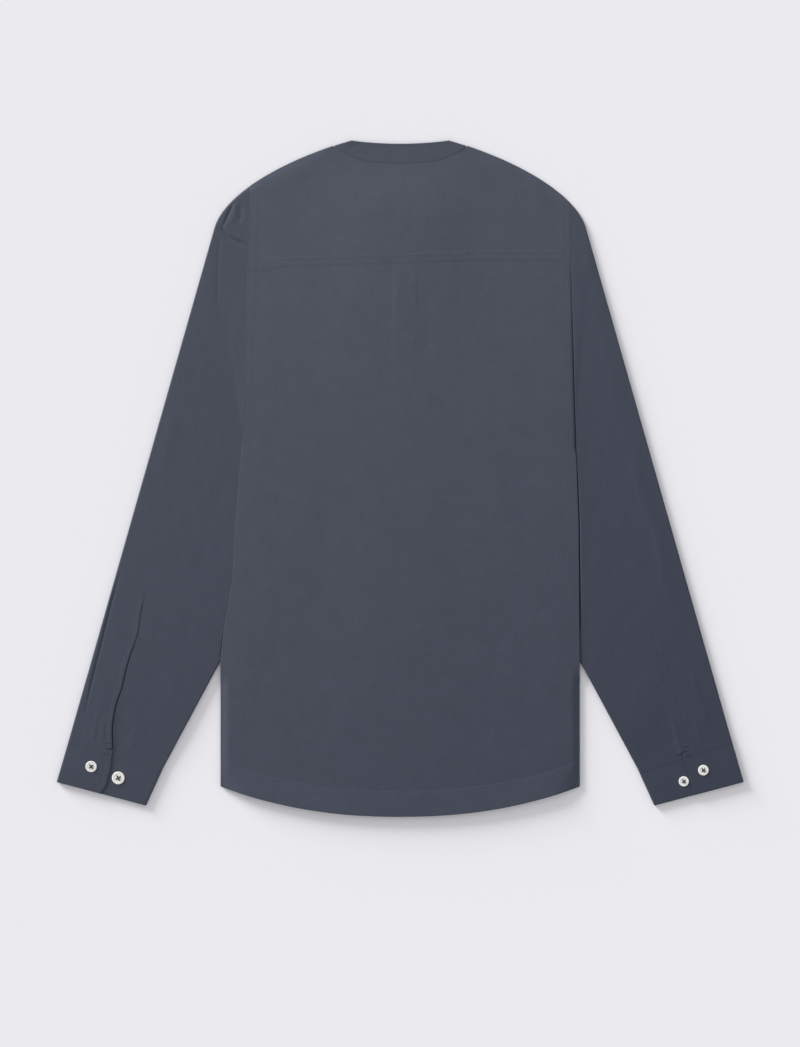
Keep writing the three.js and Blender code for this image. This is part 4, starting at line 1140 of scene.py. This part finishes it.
def stitch_tree():
    """Sets one thread stitch on each step along a line, a little unevenly."""
    tree = bpy.data.node_groups.new("stitches", "GeometryNodeTree")
    face = tree.interface
    face.new_socket("Geometry", in_out="INPUT", socket_type="NodeSocketGeometry")
    for name in ("Pitch", "Length", "Thickness", "Turn"):
        face.new_socket(name, in_out="INPUT", socket_type="NodeSocketFloat")
    face.new_socket("Seed", in_out="INPUT", socket_type="NodeSocketInt")
    face.new_socket("Material", in_out="INPUT", socket_type="NodeSocketMaterial")
    face.new_socket("Geometry", in_out="OUTPUT", socket_type="NodeSocketGeometry")

    def node(kind, inputs=(), **settings):
        made = tree.nodes.new(kind)
        for key, value in settings.items():
            setattr(made, key, value)
        for key, value in dict(inputs).items():
            if isinstance(value, bpy.types.NodeSocket):
                tree.links.new(value, made.inputs[key])
            else:
                made.inputs[key].default_value = value
        return made.outputs

    given = node("NodeGroupInput")
    curve = node("GeometryNodeMeshToCurve", {"Mesh": given["Geometry"]})["Curve"]
    by_length = {"Curve": curve, "Length": given["Pitch"]}
    stepped = node("GeometryNodeResampleCurve", by_length, mode="LENGTH")["Curve"]
    places = node("GeometryNodeCurveToPoints", {"Curve": stepped}, mode="EVALUATED")
    thick = given["Thickness"]
    size = node("ShaderNodeCombineXYZ", {0: given["Length"], 1: thick, 2: thick})[0]
    bead = node("GeometryNodeMeshUVSphere", {"Segments": 6, "Rings": 4, "Radius": 0.5})["Mesh"]
    shaped = node("GeometryNodeTransform", {"Geometry": bead, "Scale": size})["Geometry"]
    tangent = {"Vector": places["Tangent"]}
    facing = node("FunctionNodeAlignRotationToVector", tangent, axis="X", pivot_axis="Z")
    loose = node("FunctionNodeRandomValue", {2: -0.06, 3: 0.06, "Seed": given["Seed"]})[1]
    angle = node("ShaderNodeMath", {0: given["Turn"], 1: loose})[0]
    turned_by = node("ShaderNodeCombineXYZ", {2: angle})[0]
    turning = node("FunctionNodeRotateRotation", {0: facing[0], 1: turned_by}, rotation_space="LOCAL")[0]
    scale = node("FunctionNodeRandomValue", {2: 0.9, 3: 1.1, "Seed": given["Seed"]})[1]
    stitches = node("GeometryNodeInstanceOnPoints", {
        "Points": places["Points"], "Instance": shaped, "Rotation": turning, "Scale": scale,
    })["Instances"]
    whole = node("GeometryNodeRealizeInstances", {"Geometry": stitches})["Geometry"]
    smooth = node("GeometryNodeSetShadeSmooth", {"Geometry": whole})["Geometry"]
    thread = {"Geometry": smooth, "Material": given["Material"]}
    coloured = node("GeometryNodeSetMaterial", thread)["Geometry"]
    node("NodeGroupOutput", {"Geometry": coloured})
    return tree


def laid_on(pieces, line, up=True):
    """The line's points on the highest of these pieces, or on the lowest from below, in metres."""
    points = []
    for x, y in line:
        heights = []
        for piece in pieces:
            start = (x * MM, y * MM, 0.05 if up else -0.05)
            hit, place, facing, face = piece.ray_cast(start, (0, 0, -1 if up else 1))
            if hit:
                heights.append(place.z)
        if heights:
            points.append((x * MM, y * MM, max(heights) if up else min(heights)))
    return points


stitch_nodes = stitch_tree()
stitch_inputs = [item for item in stitch_nodes.interface.items_tree if item.in_out == "INPUT"]
stitch_sockets = {item.name: item.identifier for item in stitch_inputs}


def sew(name, material, lines, pitch=STITCH_PITCH, length=STITCH_LENGTH, thickness=STITCH_THICK, turn=0.0):
    """One object of stitches along lines of points."""
    points = []
    edges = []
    for line in lines:
        edges += [(len(points) + k, len(points) + k + 1) for k in range(len(line) - 1)]
        points += line
    mesh = bpy.data.meshes.new(name)
    mesh.from_pydata(points, edges, [])
    guide = bpy.data.objects.new(name + "_line", mesh)
    bpy.context.collection.objects.link(guide)
    sewing = guide.modifiers.new("stitches", "NODES")
    sewing.node_group = stitch_nodes
    values = {
        "Pitch": pitch * MM, "Length": length * MM, "Thickness": thickness * MM,
        "Turn": turn, "Seed": 7, "Material": material,
    }
    for key, value in values.items():
        sewing[stitch_sockets[key]] = value
    ready = guide.evaluated_get(bpy.context.evaluated_depsgraph_get())
    piece = bpy.data.objects.new(name, bpy.data.meshes.new_from_object(ready))
    piece.data.materials.pop(index=0)
    bpy.data.objects.remove(guide)
    bpy.context.collection.objects.link(piece)
    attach(piece, "root")
    return piece


def sewing_thread(name, shade):
    look = Finish(name)
    look.surface(Base_Color=look.faded(THREAD_COLOUR, shade), Roughness=0.8, Specular_IOR_Level=0.3)
    return look.material


# The thread takes the painted shade of the cloth it lies on: darker towards the hem and the right, and
# darker on the sleeves; the thread of the bars is darker still.
body_thread = sewing_thread("thread on the body", 1.0)
sleeve_thread = sewing_thread("thread on the sleeves", 0.86)
bar_thread = sewing_thread("thread of the bars", 0.72)
bpy.context.view_layer.update()
made = bpy.data.objects
back = made["back_panel_cloth"]
yoke = made["back_yoke_cloth"]
band = made["collar_band_cloth"]
across = np.linspace(-162, 182, 90)
rows = []
for offset in (1.8, 8.4):
    rows.append(laid_on([yoke], np.stack([across, yoke_seam_y(across) + offset], 1)))
sew("yoke_stitches", body_thread, rows)
rows = []
for side in (-1, 1):
    for offset in (1.6, 8.2):
        y = np.linspace(ARMPIT_Y + 2, 292, 80)
        rows.append(laid_on([back, yoke], np.stack([side_x(side, y) - side * offset, y], 1)))
sew("armhole_stitches", body_thread, rows)
across = np.linspace(-194, 194, 110)
hem_line = np.stack([across, hem_y(across) + HEM_BAND - 1.4], 1)
rows = [laid_on([back], hem_line)]
rows += [laid_on([made[name]], hem_line, False) for name in ("front_left_cloth", "front_right_cloth")]
sew("hem_stitches", body_thread, [row for row in rows if len(row) > 1])
across = np.linspace(-66, 66, 44)
neck = 346 + (BAND_END_Y - 346) * np.abs(across / BAND_END_X) ** 3.2
rows = [laid_on([band], np.stack([across, neck + 1.6], 1))]
rows.append(laid_on([band], np.stack([across * 0.76, 366 + 3.5 * (across / BAND_END_X) ** 2], 1)))
rows = [row for row in rows if len(row) > 1]
sew("collar_stitches", bar_thread, rows)
strip = made["front_placket_cloth"]
down = np.linspace(-366, 282, len(across))
rows = [laid_on([strip], np.stack([0 * down + x, down], 1), False) for x in (-14.4, 14.4)]
sew("front_strip_stitches", body_thread, rows)


def on_cuff(side, depth, share):
    """Places on a cuff from the way below its seam and the share across it."""
    part = depth[:, None] / CUFF_DEPTH
    outer = mix(CUFF_SEAM_OUTER, CUFF_OUTER, part)
    inner = mix(CUFF_SEAM_INNER, CUFF_INNER, part)
    return mix(outer, inner, share[:, None]) * [side, 1]


for side, name in ((-1, "left"), (1, "right")):
    cuff = made[f"cuff_{name}_cloth"]
    strip = made[f"sleeve_placket_{name}_cloth"]
    shares_across = np.linspace(0.03, 0.97, 40)
    rows = []
    for depth in (1.6, EDGE_BAND["width"], 50.2):
        line = on_cuff(side, np.full(40, depth), shares_across)
        rows += [laid_on([cuff], line), laid_on([cuff], line, False)]
    down = np.linspace(EDGE_BAND["width"], 50, 20)
    flap_at = np.interp(down / CUFF_DEPTH, FLAP_DEPTH, FLAP_SHARE[side])
    for inset in (1.6, FLAP_LINE):
        rows.append(laid_on([cuff], on_cuff(side, down, flap_at - inset / CUFF_WIDTH)))
    slit = smooth_path(np.array(SLIT_PATH[side], float), 60)
    run = np.gradient(slit, axis=0)
    run /= np.linalg.norm(run, axis=1)[:, None]
    normal = np.stack([-run[:, 1], run[:, 0]], 1) * side
    for offset in (1.5, 7.6):
        rows.append(laid_on([strip], slit[2:-1] + normal[2:-1] * offset))
    sew(f"cuff_{name}_stitches", sleeve_thread, rows)
    rows = [laid_on([strip], slit[-3] + np.outer(np.linspace(1.2, 7.8, 5), normal[-3]))]
    flap_at = np.interp(0.08, FLAP_DEPTH, FLAP_SHARE[side])
    bar = on_cuff(side, np.full(5, 4.5), flap_at - np.linspace(0.02, 0.075, 5))
    rows.append(laid_on([cuff], bar))
    for node, (middle, radius, layer, degrees) in CUFF_BUTTONS.items():
        if layer == CUFF_FLAP and middle[0] * side > 0:
            turn = np.arange(25) * math.tau / 24
            reach = CUFF_SEAM_INNER - CUFF_SEAM_OUTER
            reach = reach / np.linalg.norm(reach) * [side, 1]
            beside = np.array([-reach[1], reach[0]])
            lengthwise = np.sign(np.cos(turn)) * BUTTONHOLE_HALF + np.cos(turn) * 0.6
            slot = np.outer(lengthwise, reach) + np.outer(np.sin(turn) * 0.9, beside)
            rows.append(laid_on([cuff], np.array(middle) + slot))
    sew(f"cuff_{name}_bars", bar_thread, rows, 0.5, 1.3, 0.42, math.pi / 2)

# The surface that the shirt is laid on: a plain pale board with no shine, in metres. It lies just
# under the cloth and reaches well past the picture.
FLOOR_REACH = 6
FLOOR_HEIGHT = -0.0001
corners = [(-1, -1), (1, -1), (1, 1), (-1, 1)]
floor_points = [(x * FLOOR_REACH, y * FLOOR_REACH, FLOOR_HEIGHT) for x, y in corners]
floor_mesh = bpy.data.meshes.new("floor")
floor_mesh.from_pydata(floor_points, [], [(0, 1, 2, 3)])
floor = bpy.data.objects.new("floor", floor_mesh)
bpy.context.collection.objects.link(floor)
floor_finish = Finish("pale floor")
floor_finish.surface(Base_Color=(0.831, 0.823, 0.863, 1.0), Roughness=1.0, Specular_IOR_Level=0.0)
floor_mesh.materials.append(floor_finish.material)

# Soft light: one wide lamp, low beyond the collar on the shirt's left, and an even fill from all
# round. The lamp gives a third of the light on the floor.
LAMP_ELEVATION = 13
LAMP_SHARE = 0.33
lamp = bpy.data.lights.new("wide lamp", "SUN")
lamp.angle = math.radians(22)
lamp.energy = LAMP_SHARE * math.pi / math.sin(math.radians(LAMP_ELEVATION))
lamp_object = bpy.data.objects.new("wide lamp", lamp)
lamp_object.rotation_euler = (math.radians(90 - LAMP_ELEVATION), 0, math.radians(225))
bpy.context.collection.objects.link(lamp_object)
world = bpy.data.worlds.new("even fill")
world.use_nodes = True
world.node_tree.nodes["Background"].inputs["Color"].default_value = (1, 1, 1, 1)
world.node_tree.nodes["Background"].inputs["Strength"].default_value = 1 - LAMP_SHARE
bpy.context.scene.world = world
bpy.context.scene.view_settings.view_transform = "Standard"

# The camera looks straight down on the laid shirt from three metres, with a long lens, so that all
# of it shows at one scale.
CAMERA_HEIGHT = 3.0
FRAME_HEIGHT = 1.1517
camera = bpy.data.cameras.new("camera")
camera.sensor_width = 36
camera.lens = camera.sensor_width * CAMERA_HEIGHT / FRAME_HEIGHT
camera_object = bpy.data.objects.new("camera", camera)
camera_object.location = (-0.0002, -0.0495, CAMERA_HEIGHT)
bpy.context.collection.objects.link(camera_object)
bpy.context.scene.camera = camera_object
